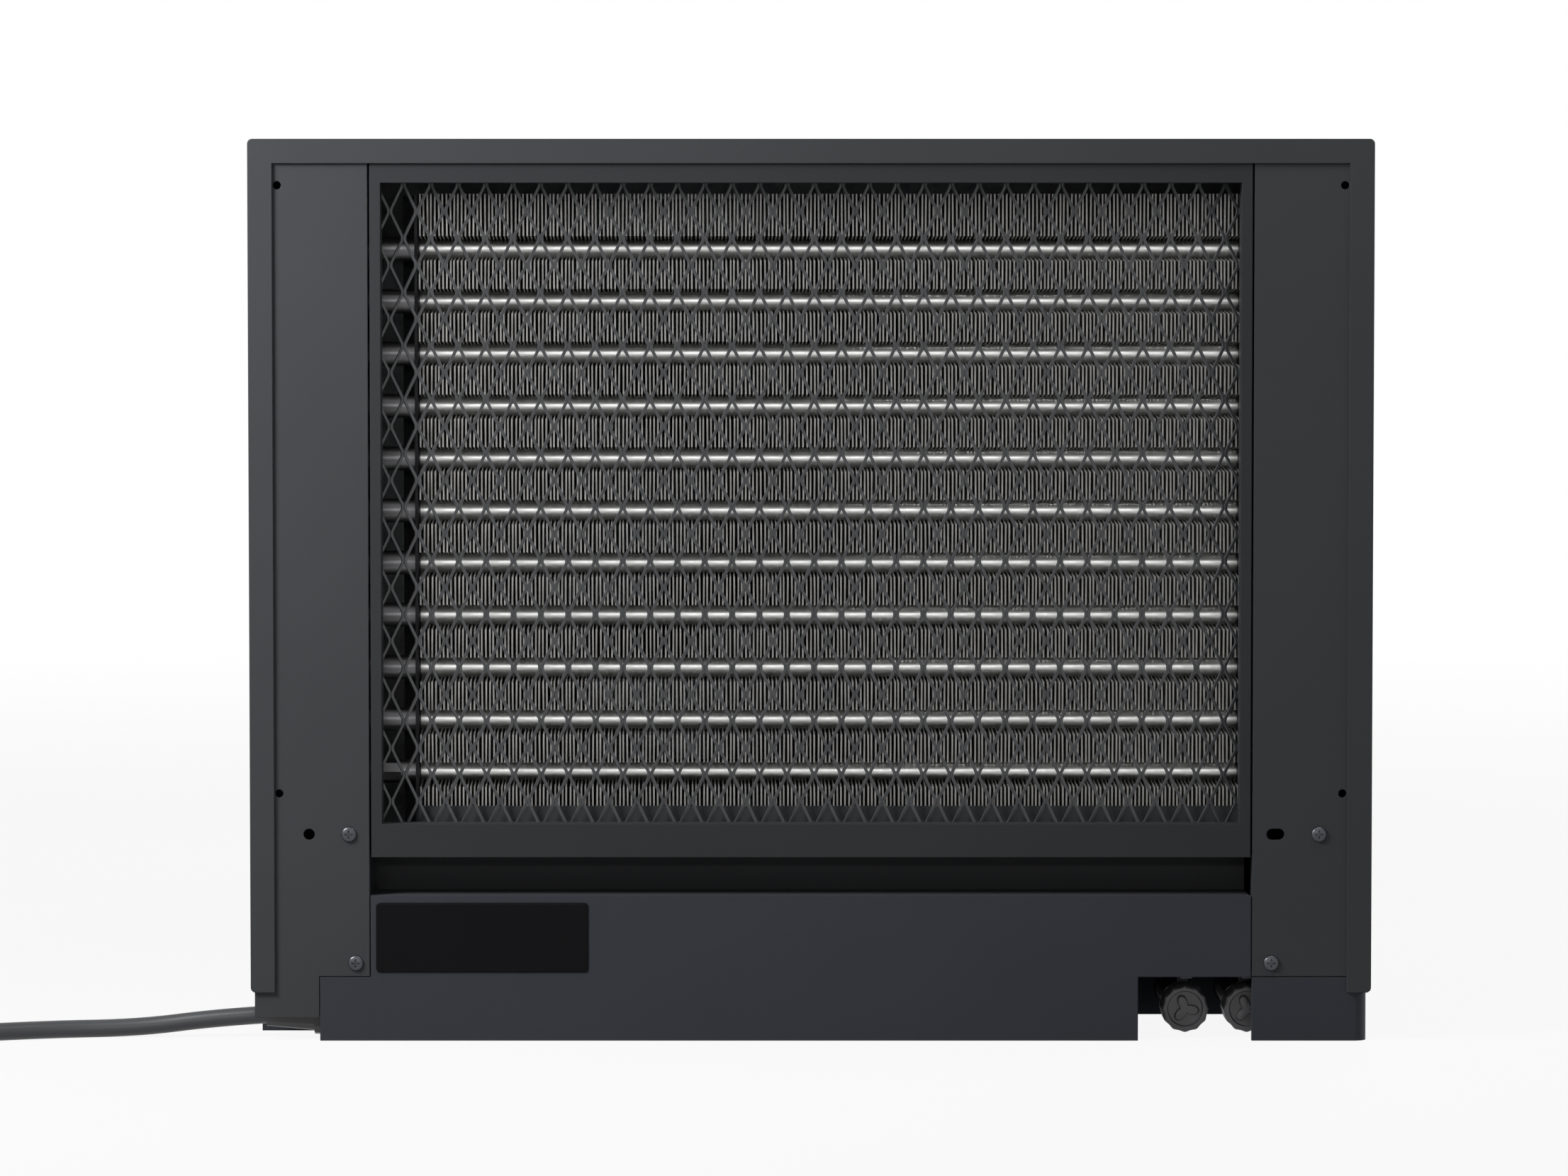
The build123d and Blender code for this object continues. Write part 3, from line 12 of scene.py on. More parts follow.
import bpy
import numpy as np
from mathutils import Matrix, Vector


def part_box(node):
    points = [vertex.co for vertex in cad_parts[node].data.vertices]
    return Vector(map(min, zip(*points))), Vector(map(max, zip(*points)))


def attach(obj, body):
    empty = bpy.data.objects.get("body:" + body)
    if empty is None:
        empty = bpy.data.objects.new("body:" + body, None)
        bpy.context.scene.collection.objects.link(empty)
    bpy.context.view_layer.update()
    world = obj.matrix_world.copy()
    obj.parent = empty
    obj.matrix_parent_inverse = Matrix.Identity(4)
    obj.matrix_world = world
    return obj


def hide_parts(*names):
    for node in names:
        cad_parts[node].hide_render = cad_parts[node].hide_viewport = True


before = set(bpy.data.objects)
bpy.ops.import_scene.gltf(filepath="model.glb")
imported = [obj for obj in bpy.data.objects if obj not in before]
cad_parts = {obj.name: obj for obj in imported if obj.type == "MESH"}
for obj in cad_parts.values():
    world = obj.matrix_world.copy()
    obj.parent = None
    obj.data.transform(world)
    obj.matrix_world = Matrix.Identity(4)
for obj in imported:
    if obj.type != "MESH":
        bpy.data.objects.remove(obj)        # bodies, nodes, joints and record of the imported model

LOG = logging.getLogger("rack_air_conditioner")
MM = 0.001
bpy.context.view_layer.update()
TURN = 2.0 * math.pi
# Sockets of a colour mix by number, because its other data types share their names
MIX_DARK, MIX_LIGHT, MIX_RESULT = 6, 7, 2


class Body(Enum):
    """Bodies of the frame that new pieces ride on."""

    MAIN = "main"
    CAP_1 = "cap_1"
    CAP_2 = "cap_2"


class Slot(Enum):
    """Material slots of the record; nothing in this script reads them."""

    PAINT = "black_paint"
    ZINC = "zinc_steel"
    FIN = "fin_aluminium"
    PLASTIC = "black_plastic"
    JACKET = "cord_jacket"


class Grain(Enum):
    """Texture node that draws a finish's grain, and which of its outputs is its height."""

    NOISE = ("ShaderNodeTexNoise", 0)
    SPANGLE = ("ShaderNodeTexVoronoi", 1)
    CELLS = ("ShaderNodeTexVoronoi", 0)
    WAVES = ("ShaderNodeTexWave", 1)
    BRICKS = ("ShaderNodeTexBrick", 1)


def linear(colour: str) -> tuple[float, float, float, float]:
    """Turn an sRGB hex colour into a linear one.

    The standard curve: a power of 2.4 of the shifted level, after a short straight start.

    Args:
        colour: six hex digits after a hash sign.

    Returns:
        Linear red, green, blue and a full alpha.
    """
    levels = np.array([int(colour[i : i + 2], 16) for i in (1, 3, 5)]) / 255.0
    curved = ((levels + 0.055) / 1.055) ** 2.4
    return (*np.where(levels <= 0.04045, levels / 12.92, curved).tolist(), 1.0)


def add_node(
    tree: bpy.types.NodeTree,
    kind: str,
    values: dict[str | int, object] | None = None,
    links: dict[str | int, bpy.types.NodeSocket] | None = None,
    **settings: object,
) -> bpy.types.Node:
    """Add a node, set it up and link it.

    Args:
        tree: node tree that takes the node.
        kind: Blender's name for the node type.
        values: default values by input name or number.
        links: output sockets to link, by input name or number.
        settings: attributes of the node itself.

    Returns:
        The new node.
    """
    node = tree.nodes.new(kind)
    for name, value in settings.items():
        setattr(node, name, value)
    for socket, value in (values or {}).items():
        node.inputs[socket].default_value = value
    for socket, source in (links or {}).items():
        tree.links.new(source, node.inputs[socket])
    return node


@dataclass(frozen=True)
class Finish:
    """One surface finish: two close colours in soft patches, a grain and a gloss."""

    name: str
    dark: str
    light: str
    roughness: float
    metallic: float = 0.0
    specular: float = 0.5
    coat: float = 0.0
    patch_mm: float = 60.0
    patch_detail: float = 3.0
    grain: Grain = Grain.NOISE
    grain_mm: float = 0.8
    grain_depth_mm: float = 0.02
    stretch: tuple[float, float, float] = (1.0, 1.0, 1.0)
    colour_by_grain: bool = False
    gloss_spread: float = 0.05
    edge_mm: float = 0.0
    edge_samples: int = 4

    def build(self) -> bpy.types.Material:
        """Make the material, or give back the one made before.

        Returns:
            The procedural material.
        """
        made = bpy.data.materials.get(self.name)
        if made is not None:
            return made
        made = bpy.data.materials.new(self.name)
        made.use_nodes = True
        tree = made.node_tree
        shader = tree.nodes["Principled BSDF"]
        shader.inputs["Metallic"].default_value = self.metallic
        shader.inputs["Specular IOR Level"].default_value = self.specular
        shader.inputs["Coat Weight"].default_value = self.coat
        place = add_node(tree, "ShaderNodeTexCoord").outputs["Object"]
        drawn = add_node(tree, "ShaderNodeMapping", {"Scale": self.stretch}, {"Vector": place})
        patches = add_node(
            tree,
            "ShaderNodeTexNoise",
            {"Scale": 1.0 / (self.patch_mm * MM), "Detail": self.patch_detail},
            {"Vector": drawn.outputs[0]},
        )
        kind, height = self.grain.value
        grain = add_node(
            tree, kind, {"Scale": 1.0 / (self.grain_mm * MM)}, {"Vector": drawn.outputs[0]}
        )
        chosen = grain.outputs[height] if self.colour_by_grain else patches.outputs[0]
        colour = add_node(
            tree,
            "ShaderNodeMix",
            {MIX_DARK: linear(self.dark), MIX_LIGHT: linear(self.light)},
            {"Factor": chosen},
            data_type="RGBA",
        )
        gloss = add_node(
            tree,
            "ShaderNodeMapRange",
            {
                "To Min": self.roughness - self.gloss_spread,
                "To Max": self.roughness + self.gloss_spread,
            },
            {"Value": grain.outputs[height]},
        )
        bump = add_node(
            tree,
            "ShaderNodeBump",
            {"Distance": self.grain_depth_mm * MM},
            {"Height": grain.outputs[height]},
        )
        if self.edge_mm > 0.0:
            edge = add_node(
                tree, "ShaderNodeBevel", {"Radius": self.edge_mm * MM}, samples=self.edge_samples
            )
            tree.links.new(edge.outputs[0], bump.inputs["Normal"])
        tree.links.new(colour.outputs[MIX_RESULT], shader.inputs["Base Color"])
        tree.links.new(gloss.outputs[0], shader.inputs["Roughness"])
        tree.links.new(bump.outputs[0], shader.inputs["Normal"])
        return made


# Grain sizes are real ones where they show; a finer grain, as on moulded pieces, is drawn coarser

# Powder coat on steel: a black that reads as charcoal, with orange peel and soft sheen
POWDER_COAT = Finish(
    "powder_coated_steel", "#38393b", "#3e3f41", 0.5, specular=0.06, grain_mm=1.6,
    grain_depth_mm=0.035, patch_mm=90.0, edge_mm=0.5,
)
# Same coat on the base pan, from another batch: a little bluer
PAN_COAT = Finish(
    "powder_coated_pan", "#323439", "#373940", 0.52, specular=0.08, grain_mm=1.6,
    grain_depth_mm=0.035, patch_mm=90.0, edge_mm=0.6,
)
# Flatter coat of the grille frame: a deeper black
FRAME_COAT = Finish(
    "matt_coated_steel", "#2c2d2f", "#323335", 0.56, specular=0.08, grain_mm=1.6,
    grain_depth_mm=0.03, patch_mm=90.0, edge_mm=0.5,
)
# Thin dipped enamel on the stretched mesh: a little glossier than the sheets
MESH_ENAMEL = Finish(
    "dipped_mesh_enamel", "#38393b", "#48494b", 0.36, specular=0.5, grain_mm=1.2,
    grain_depth_mm=0.02, patch_mm=12.0,
)
# Black zinc on screws: dark metal with a dull shine
BLACK_ZINC = Finish(
    "black_zinc_screw", "#3a3b3f", "#525358", 0.36, metallic=0.9, grain_mm=0.5,
    grain_depth_mm=0.01, patch_mm=3.0,
)
# Mill aluminium in thin rolled strip: grey and dull along the fins
FIN_STRIP = Finish(
    "rolled_fin_aluminium", "#868583", "#9c9b98", 0.5, metallic=0.3, grain_mm=0.8,
    grain_depth_mm=0.01, patch_mm=14.0, stretch=(1.0, 1.0, 0.25),
)
# Drawn aluminium tube: bright, with a soft highlight along its length
BRIGHT_TUBE = Finish(
    "drawn_aluminium_tube", "#bcbcba", "#e2e2e0", 0.32, metallic=1.0, grain_mm=0.6,
    grain_depth_mm=0.004, patch_mm=20.0, stretch=(0.1, 1.0, 1.0),
)
# Same tube, dark and dull: painted shade on the bends outside the fins and on the line in the gap that the
# frame shades
SHADED_TUBE = Finish(
    "painted_shade_tube", "#6a6a6c", "#8c8c8e", 0.34, metallic=0.8, grain_mm=0.8,
    grain_depth_mm=0.01, patch_mm=9.0,
)
# Drawn copper: warm, slightly browned in patches
COPPER = Finish(
    "drawn_copper_tube", "#8a4a2c", "#c07a52", 0.32, metallic=1.0, grain_mm=0.6,
    grain_depth_mm=0.004, patch_mm=18.0,
)
# Hot-dip galvanised sheet: pale grey with spangle cells
GALVANISED = Finish(
    "galvanised_sheet", "#8b9094", "#aeb3b6", 0.42, metallic=0.85, grain=Grain.SPANGLE,
    grain_mm=9.0, grain_depth_mm=0.006, colour_by_grain=True,
)
# End plates of the coil: near black, painted shade for the dark gap beside the fins
END_PLATE_SHADE = Finish(
    "painted_shade_sheet", "#1c1d1f", "#252628", 0.6, specular=0.15, grain_mm=1.4, grain_depth_mm=0.03,
)
# Baked enamel on motor and compressor shells: deep black, glossy
SHELL_ENAMEL = Finish(
    "baked_shell_enamel", "#161618", "#202124", 0.28, coat=0.3, grain_mm=2.5, grain_depth_mm=0.03,
)
# Ground steel shaft: plain bright metal with fine turning lines
GROUND_STEEL = Finish(
    "ground_steel_shaft", "#9a9b9c", "#c2c3c4", 0.25, metallic=1.0, grain_mm=0.5,
    grain_depth_mm=0.004, stretch=(1.0, 6.0, 1.0),
)
# Deep-drawn aluminium can: satin, faint vertical drawing lines
CAN_METAL = Finish(
    "drawn_can_aluminium", "#a6a7a8", "#c4c5c6", 0.35, metallic=0.9, grain_mm=0.7,
    grain_depth_mm=0.006, stretch=(1.0, 1.0, 0.15),
)
# Moulded ABS with a spark-eroded texture: matt black, its fine even grain drawn coarser to show
MOULDED_ABS = Finish(
    "moulded_abs", "#202124", "#292a2d", 0.52, specular=0.45, grain=Grain.CELLS, grain_mm=0.9,
    grain_depth_mm=0.03, patch_mm=80.0, edge_mm=0.5,
)
# Glass-filled nylon of fans, gland and spouts: dull black, slightly cloudy
NYLON = Finish(
    "glass_filled_nylon", "#1b1b1d", "#29292c", 0.5, grain_mm=0.7, grain_depth_mm=0.03, patch_mm=9.0,
)
# Drain caps: the same nylon, left grey by daylight
FADED_NYLON = Finish(
    "faded_cap_nylon", "#38383a", "#4b4b4e", 0.48, grain_mm=0.7, grain_depth_mm=0.03, patch_mm=7.0,
)
# Soft-touch buttons: mid grey moulded plastic
BUTTON_PLASTIC = Finish(
    "moulded_button_plastic", "#787a7d", "#86888b", 0.45, grain=Grain.CELLS, grain_mm=0.6,
    grain_depth_mm=0.015, patch_mm=20.0, edge_mm=0.4,
)
# Smoked acrylic: almost black, mirror gloss
SMOKED_ACRYLIC = Finish(
    "smoked_acrylic", "#08080a", "#0d0d10", 0.08, coat=0.5, grain_mm=30.0, grain_depth_mm=0.01,
    gloss_spread=0.02,
)
# Neoprene: soft black that scatters a little grey light
NEOPRENE = Finish(
    "moulded_neoprene", "#1a1a1b", "#252526", 0.62, specular=0.4, grain_mm=0.6, grain_depth_mm=0.03,
    patch_mm=6.0,
)
# Cap straps: bloomed rubber, a mid grey
BLOOMED_RUBBER = Finish(
    "bloomed_strap_rubber", "#48494b", "#5e5f61", 0.6, specular=0.4, grain_mm=0.6, grain_depth_mm=0.03,
    patch_mm=5.0,
)
# PVC jacket of the mains lead: black, with a waxy sheen and a faint grain
PVC_JACKET = Finish(
    "extruded_pvc_jacket", "#26272a", "#323336", 0.4, specular=0.5, grain_mm=1.4,
    grain_depth_mm=0.02, patch_mm=25.0,
)
# Nickel-plated brass blades of the plug
PLATED_BRASS = Finish(
    "nickel_plated_brass", "#b9b6ae", "#d3d0c8", 0.24, metallic=1.0, grain_mm=0.8, grain_depth_mm=0.005,
)
# Hook-and-loop strap: black woven nylon, its picks drawn about 2 mm apart to show
WOVEN_STRAP = Finish(
    "woven_nylon_strap", "#141415", "#2c2c2e", 0.8, grain=Grain.WAVES, grain_mm=6.0,
    grain_depth_mm=0.15, colour_by_grain=True,
)
# Expanded polystyrene duct and tray: white beads pressed together
BEAD_FOAM = Finish(
    "expanded_bead_foam", "#d9dad8", "#ecedeb", 0.75, grain=Grain.CELLS, grain_mm=4.0, grain_depth_mm=0.25,
)
# Epoxy-glass board under green resist: copper tracks show as paler bricks
LAMINATE = Finish(
    "epoxy_glass_laminate", "#0d4a26", "#2b7a49", 0.38, coat=0.2, grain=Grain.BRICKS, grain_mm=22.0,
    grain_depth_mm=0.04, colour_by_grain=True,
)
# Fibre air filter: dark tangled polyester, drawn as tufts because single fibres would not show
FIBRE_PAD = Finish(
    "polyester_fibre_pad", "#26272a", "#4a4c50", 0.9, specular=0.2, grain_mm=2.2, grain_depth_mm=0.6,
    colour_by_grain=True,
)
# Bare satin plate on the base's front: flat black film
BARE_PLATE = Finish(
    "bare_satin_plate", "#0b0b0d", "#101012", 0.36, specular=0.05, grain_mm=1.0, grain_depth_mm=0.008,
    patch_mm=40.0,
)


def fan_volume(ring: np.ndarray) -> float:
    """Sum, over a ring's sides, the triple product of the side's ends and the ring's first point."""
    return float((np.cross(ring, np.roll(ring, -1, axis=0)) @ ring[0]).sum())


def signed_volume(rings: np.ndarray) -> float:
    """Give six times the signed volume of one lofted piece, ends included.

    The sum over its faces of the triple product of corners, taken about the piece's middle.

    Args:
        rings: points of one piece, as rings by sides by three.

    Returns:
        Positive where the faces made in ring order look outwards.
    """
    points = rings - rings.reshape(-1, 3).mean(axis=0)
    near, near_next = points[:-1], np.roll(points[:-1], -1, axis=1)
    far, far_next = points[1:], np.roll(points[1:], -1, axis=1)
    walls = np.einsum("ijk,ijk", near, np.cross(near_next, far_next) + np.cross(far_next, far))
    return float(walls) + fan_volume(points[-1]) - fan_volume(points[0])


def loft_mesh(name: str, sections: np.ndarray, crease_deg: float = 35.0) -> bpy.types.Mesh:
    """Make one mesh of closed lofted pieces.

    Each piece is a grid of rings by sides: quads join each ring to the next, the sides wrap round,
    and one flat face closes each end.

    Args:
        name: name of the mesh.
        sections: points as pieces by rings by sides by three.
        crease_deg: edges sharper than this stay sharp.

    Returns:
        The new mesh.
    """
    pieces, rings, sides, _ = sections.shape
    if signed_volume(sections[0]) < 0.0:
        sections = sections[:, :, ::-1]
    index = np.arange(pieces * rings * sides, dtype=np.int32).reshape(pieces, rings, sides)
    near, near_next = index[:, :-1], np.roll(index[:, :-1], -1, axis=2)
    far, far_next = index[:, 1:], np.roll(index[:, 1:], -1, axis=2)
    quads = np.stack([near, near_next, far_next, far], axis=-1).reshape(-1, 4)
    ends = np.concatenate([index[:, 0, ::-1], index[:, -1]])
    corners = np.concatenate([quads.ravel(), ends.ravel()])
    starts = np.concatenate([np.arange(len(quads)) * 4, quads.size + np.arange(len(ends)) * sides])
    mesh = bpy.data.meshes.new(name)
    mesh.vertices.add(index.size)
    mesh.vertices.foreach_set("co", np.ascontiguousarray(sections, dtype=np.float32).ravel())
    mesh.loops.add(corners.size)
    mesh.loops.foreach_set("vertex_index", corners.astype(np.int32))
    mesh.polygons.add(len(starts))
    mesh.polygons.foreach_set("loop_start", starts.astype(np.int32))
    mesh.polygons.foreach_set("use_smooth", np.ones(len(starts), dtype=bool))
    mesh.update(calc_edges=True)
    mesh.validate()
    mesh.set_sharp_from_angle(angle=math.radians(crease_deg))
    return mesh


def add_piece(
    mesh: bpy.types.Mesh,
    finish: Finish,
    body: Body = Body.MAIN,
    replaced: tuple[str, ...] = (),
) -> bpy.types.Object:
    """Put a mesh into the scene as a piece of the object.

    Args:
        mesh: mesh in place in the frame.
        finish: finish of its whole surface.
        body: body that it rides on.
        replaced: frame nodes that it stands for.

    Returns:
        The new object.
    """
    mesh.materials.append(finish.build())
    piece = bpy.data.objects.new(mesh.name, mesh)
    bpy.context.scene.collection.objects.link(piece)
    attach(piece, body.value)
    if replaced:
        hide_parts(*replaced)
    LOG.info("%s: %d faces on %s", piece.name, len(mesh.polygons), body.value)
    return piece


def dress(finish: Finish, *nodes: str) -> None:
    """Give frame nodes a finish.

    Args:
        finish: finish of the whole node.
        nodes: names of the nodes.
    """
    material = finish.build()
    for name in nodes:
        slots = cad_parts[name].data.materials
        slots.clear()
        slots.append(material)
        LOG.info("%s: %s", name, finish.name)


def turned(profile: np.ndarray, angles: np.ndarray, shape: np.ndarray | None = None) -> np.ndarray:
    """Turn a profile about an axis: x and z are radius times cosine and sine, y is the height.

    Args:
        profile: radius and height of each ring.
        angles: angle of each side.
        shape: factor on the radius by ring and side, for flutes and recesses.

    Returns:
        Points as rings by sides by three, about the Y axis.
    """
    radius = profile[:, :1] * (1.0 if shape is None else shape)
    radius = np.broadcast_to(radius, (len(profile), len(angles)))
    height = np.broadcast_to(profile[:, 1:], radius.shape)
    return np.stack([radius * np.cos(angles), height, radius * np.sin(angles)], axis=-1)


def eased(share: np.ndarray) -> np.ndarray:
    """Ease a share from 0 to 1 without a kink: three times its square less twice its cube."""
    held = np.clip(share, 0.0, 1.0)
    return held * held * (3.0 - 2.0 * held)


@dataclass(frozen=True)
class Lamp:
    """One soft rectangular lamp: where it hangs, the width and height of its face, and its power."""

    name: str
    place: tuple[float, float, float]
    size: tuple[float, float]
    watts: float

    def build(self, aim: Vector) -> None:
        """Hang the lamp.

        Args:
            aim: the point that it faces.
        """
        data = bpy.data.lights.new(self.name, "AREA")
        data.shape = "RECTANGLE"
        data.size, data.size_y = self.size
        data.energy = self.watts
        lamp = bpy.data.objects.new(self.name, data)
        lamp.location = self.place
        lamp.rotation_euler = (aim - lamp.location).to_track_quat("-Z", "Y").to_euler()
        bpy.context.scene.collection.objects.link(lamp)


# Small and near, at the upper left: the face falls off to the right and downwards
KEY_SOFTBOX = Lamp("key_softbox", (-0.62, -0.66, 0.62), (0.3, 0.3), 9.5)
# Narrow and close above: lights the lip and the top
TOP_STRIP = Lamp("top_strip", (0.25, -0.5, 0.75), (0.5, 0.1), 1.4)
# Long and far, behind the camera: the bright line along each run of the tube
FRONT_STRIP = Lamp("front_strip", (-0.2, -2.7, 0.62), (1.3, 0.14), 5.5)
# Wide and far on either hidden side: shows the right side and the rear face
RIGHT_SOFTBOX = Lamp("right_softbox", (2.0, 0.3, 0.8), (1.0, 0.8), 30.0)
REAR_SOFTBOX = Lamp("rear_softbox", (1.0, 2.4, 1.7), (1.4, 1.0), 40.0)


@dataclass
class Studio:
    """Pale floor, white surroundings, soft lamps and the camera before the mesh face."""

    frame_width: float = 611.0 * MM
    aim_x: float = -10.5 * MM
    aim_z: float = 177.4 * MM
    distance: float = 2.2
    camera_height: float = 0.28
    sensor_mm: float = 36.0
    floor_half: float = 6.0
    floor_white: float = 0.91
    white_from: float = 0.7
    white_by: float = 2.6
    sky_strength: float = 0.05
    paper: str = "#a8a8a8"
    white: str = "#ffffff"
    lamps: tuple[Lamp, ...] = (KEY_SOFTBOX, TOP_STRIP, FRONT_STRIP, RIGHT_SOFTBOX, REAR_SOFTBOX)

    def build(self) -> None:
        """Make floor, surroundings, lamps and camera."""
        self.build_floor()
        self.build_surroundings()
        for lamp in self.lamps:
            lamp.build(Vector((0.0, 0.0, self.aim_z)))
        self.build_camera()

    def build_camera(self) -> None:
        """Aim the camera at the middle of the photographed frame on the face plane.

        The lens is the sensor's width times the sight's length, over the frame's width.
        """
        face_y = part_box("cover")[0].y
        data = bpy.data.cameras.new("camera")
        data.sensor_width = self.sensor_mm
        sight = Vector((0.0, self.distance, self.aim_z - self.camera_height))
        data.lens = self.sensor_mm * sight.length / self.frame_width
        camera = bpy.data.objects.new("camera", data)
        camera.location = (self.aim_x, face_y - self.distance, self.camera_height)
        camera.rotation_euler = sight.to_track_quat("-Z", "Y").to_euler()
        bpy.context.scene.collection.objects.link(camera)
        bpy.context.scene.camera = camera

    def seen_directly(self, tree: bpy.types.NodeTree) -> bpy.types.NodeSocket:
        """Add nodes that give 1 on rays from the camera, mirrors and clear pieces.

        Args:
            tree: node tree that takes them.

        Returns:
            The socket with that value.
        """
        path = add_node(tree, "ShaderNodeLightPath").outputs
        mirrored = add_node(
            tree,
            "ShaderNodeMath",
            links={0: path["Is Glossy Ray"], 1: path["Is Transmission Ray"]},
            operation="MAXIMUM",
        )
        seen = add_node(
            tree,
            "ShaderNodeMath",
            links={0: path["Is Camera Ray"], 1: mirrored.outputs[0]},
            operation="MAXIMUM",
        )
        return seen.outputs[0]

    def build_floor(self) -> None:
        """Lay the floor: a flat pale sheet that shows white and keeps the object's shadow."""
        reach = self.floor_half
        corners = np.array([[-reach, -reach], [reach, -reach], [reach, reach], [-reach, reach]])
        mesh = bpy.data.meshes.new("studio_floor")
        mesh.from_pydata(np.pad(corners, ((0, 0), (0, 1))).tolist(), [], [[0, 1, 2, 3]])
        material = bpy.data.materials.new("matt_white_paper")
        material.use_nodes = True
        tree = material.node_tree
        tree.nodes.clear()
        paper = add_node(tree, "ShaderNodeBsdfDiffuse", {"Color": linear(self.paper)})
        glow = add_node(tree, "ShaderNodeEmission", {"Color": linear(self.white), "Strength": 1.0})
        place = add_node(tree, "ShaderNodeTexCoord").outputs["Object"]
        away = add_node(tree, "ShaderNodeVectorMath", links={0: place}, operation="LENGTH")
        white = add_node(
            tree,
            "ShaderNodeMapRange",
            {
                "From Min": self.white_from,
                "From Max": self.white_by,
                "To Min": self.floor_white,
                "To Max": 1.0,
            },
            {"Value": away.outputs["Value"]},
            interpolation_type="SMOOTHSTEP",
        )
        share = add_node(
            tree,
            "ShaderNodeMath",
            links={0: self.seen_directly(tree), 1: white.outputs[0]},
            operation="MULTIPLY",
        )
        mixed = add_node(
            tree,
            "ShaderNodeMixShader",
            links={0: share.outputs[0], 1: paper.outputs[0], 2: glow.outputs[0]},
        )
        add_node(tree, "ShaderNodeOutputMaterial", links={"Surface": mixed.outputs[0]})
        mesh.materials.append(material)
        floor = bpy.data.objects.new("studio_floor", mesh)
        bpy.context.scene.collection.objects.link(floor)

    def build_surroundings(self) -> None:
        """Make the surroundings white where they are seen and a plain soft light elsewhere."""
        world = bpy.data.worlds.new("white_studio")
        world.use_nodes = True
        tree = world.node_tree
        strength = add_node(
            tree,
            "ShaderNodeMapRange",
            {"To Min": self.sky_strength, "To Max": 1.0},
            {"Value": self.seen_directly(tree)},
        )
        sky = tree.nodes["Background"]
        sky.inputs["Color"].default_value = linear(self.white)
        tree.links.new(strength.outputs[0], sky.inputs["Strength"])
        bpy.context.scene.world = world


@dataclass
class MainsLead:
    """Mains lead: from the gland along the floor, into a stored coil and out to its plug."""

    diameter: float = 7.0 * MM
    length: float = 1.78
    lead_mm: tuple[tuple[float, float, float], ...] = (
        (-214.0, -302.3, 8.6),
        (-234.0, -302.8, 7.4),
        (-264.0, -303.8, 3.6),
        (-300.0, -309.5, 3.6),
        (-338.0, -326.0, 3.6),
        (-378.0, -332.5, 3.6),
    )
    tail_mm: tuple[tuple[float, float, float], ...] = (
        (-420.5, -290.0, 24.6),
        (-419.9, -268.0, 23.4),
        (-419.1, -242.0, 12.4),
        (-419.5, -222.0, 10.1),
    )
    coil_middle_mm: tuple[float, float] = (-378.0, -290.0)
    coil_radius_mm: float = 39.0
    floor_mm: float = 0.1
    layers: int = 4
    points_per_turn: int = 24
    turns: float = 6.25
    step_share: float = 1.0 / 6.0
    round_steps: int = 5
    curve_steps: int = 6
    curve_order: int = 3
    blade_reach: float = 16.5 * MM

    def coil_mm(self) -> np.ndarray:
        """Work out the coil's turns, two abreast and four high.

        The lead steps from lane to lane, each step eased over a sixth of a turn and begun a sixth
        of a turn earlier than the one under it, so that no two turns meet. A point lies at the
        lane's radius on the angle run so far, clockwise from the front.

        Returns:
            Points after the lead's last one, in millimetres.
        """
        thick = self.diameter / MM
        side = np.tile([1, -1, -1, 1], self.layers // 2) * thick / 2
        layer = np.repeat(np.arange(self.layers), 2) * thick + thick / 2 + self.floor_mm
        run = np.arange(1, round(self.turns * self.points_per_turn)) / self.points_per_turn
        step = np.arange(1, len(side))
        moved = eased((run[:, None] - step * (1.0 - self.step_share)) / self.step_share)
        radius = self.coil_radius_mm + side[0] + moved @ np.diff(side)
        height = layer[0] + moved @ np.diff(layer)
        angle = TURN * run
        x = self.coil_middle_mm[0] - radius * np.sin(angle)
        y = self.coil_middle_mm[1] - radius * np.cos(angle)
        return np.stack([x, y, height], axis=1)

    def build(self) -> bpy.types.Object:
        """Returns:
            The lead's curve object.
        """
        points = np.concatenate([self.lead_mm, self.coil_mm(), self.tail_mm]) * MM
        curve = bpy.data.curves.new("mains_lead", "CURVE")
        curve.dimensions = "3D"
        curve.bevel_depth = self.diameter / 2
        curve.bevel_resolution = self.round_steps
        curve.resolution_u = self.curve_steps
        curve.use_fill_caps = True
        spline = curve.splines.new("NURBS")
        spline.points.add(len(points) - 1)
        weighted = np.pad(points, ((0, 0), (0, 1)), constant_values=1.0)
        spline.points.foreach_set("co", weighted.ravel())
        spline.order_u = self.curve_order
        spline.use_endpoint_u = True
        spline.use_smooth = True
        curve.materials.append(PVC_JACKET.build())
        lead = bpy.data.objects.new("mains_lead", curve)
        bpy.context.scene.collection.objects.link(lead)
        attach(lead, Body.MAIN.value)
        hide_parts("power_cord", "cord_coil", "cord_tail")
        LOG.info("mains_lead: %d points", len(points))
        self.dress()
        return lead

    def dress(self) -> None:
        """Finish gland, tie and plug; the plug's blades are bare metal."""
        dress(NYLON, "cord_gland")
        dress(WOVEN_STRAP, "cord_tie")
        dress(PVC_JACKET, "plug")
        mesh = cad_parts["plug"].data
        mesh.materials.append(PLATED_BRASS.build())
        centres = np.zeros(3 * len(mesh.polygons), dtype=np.float32)
        mesh.polygons.foreach_get("center", centres)
        blade_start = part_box("plug")[1].y - self.blade_reach
        metal = (centres.reshape(-1, 3)[:, 1] > blade_start).astype(np.int32)
        mesh.polygons.foreach_set("material_index", metal)
        mesh.update()


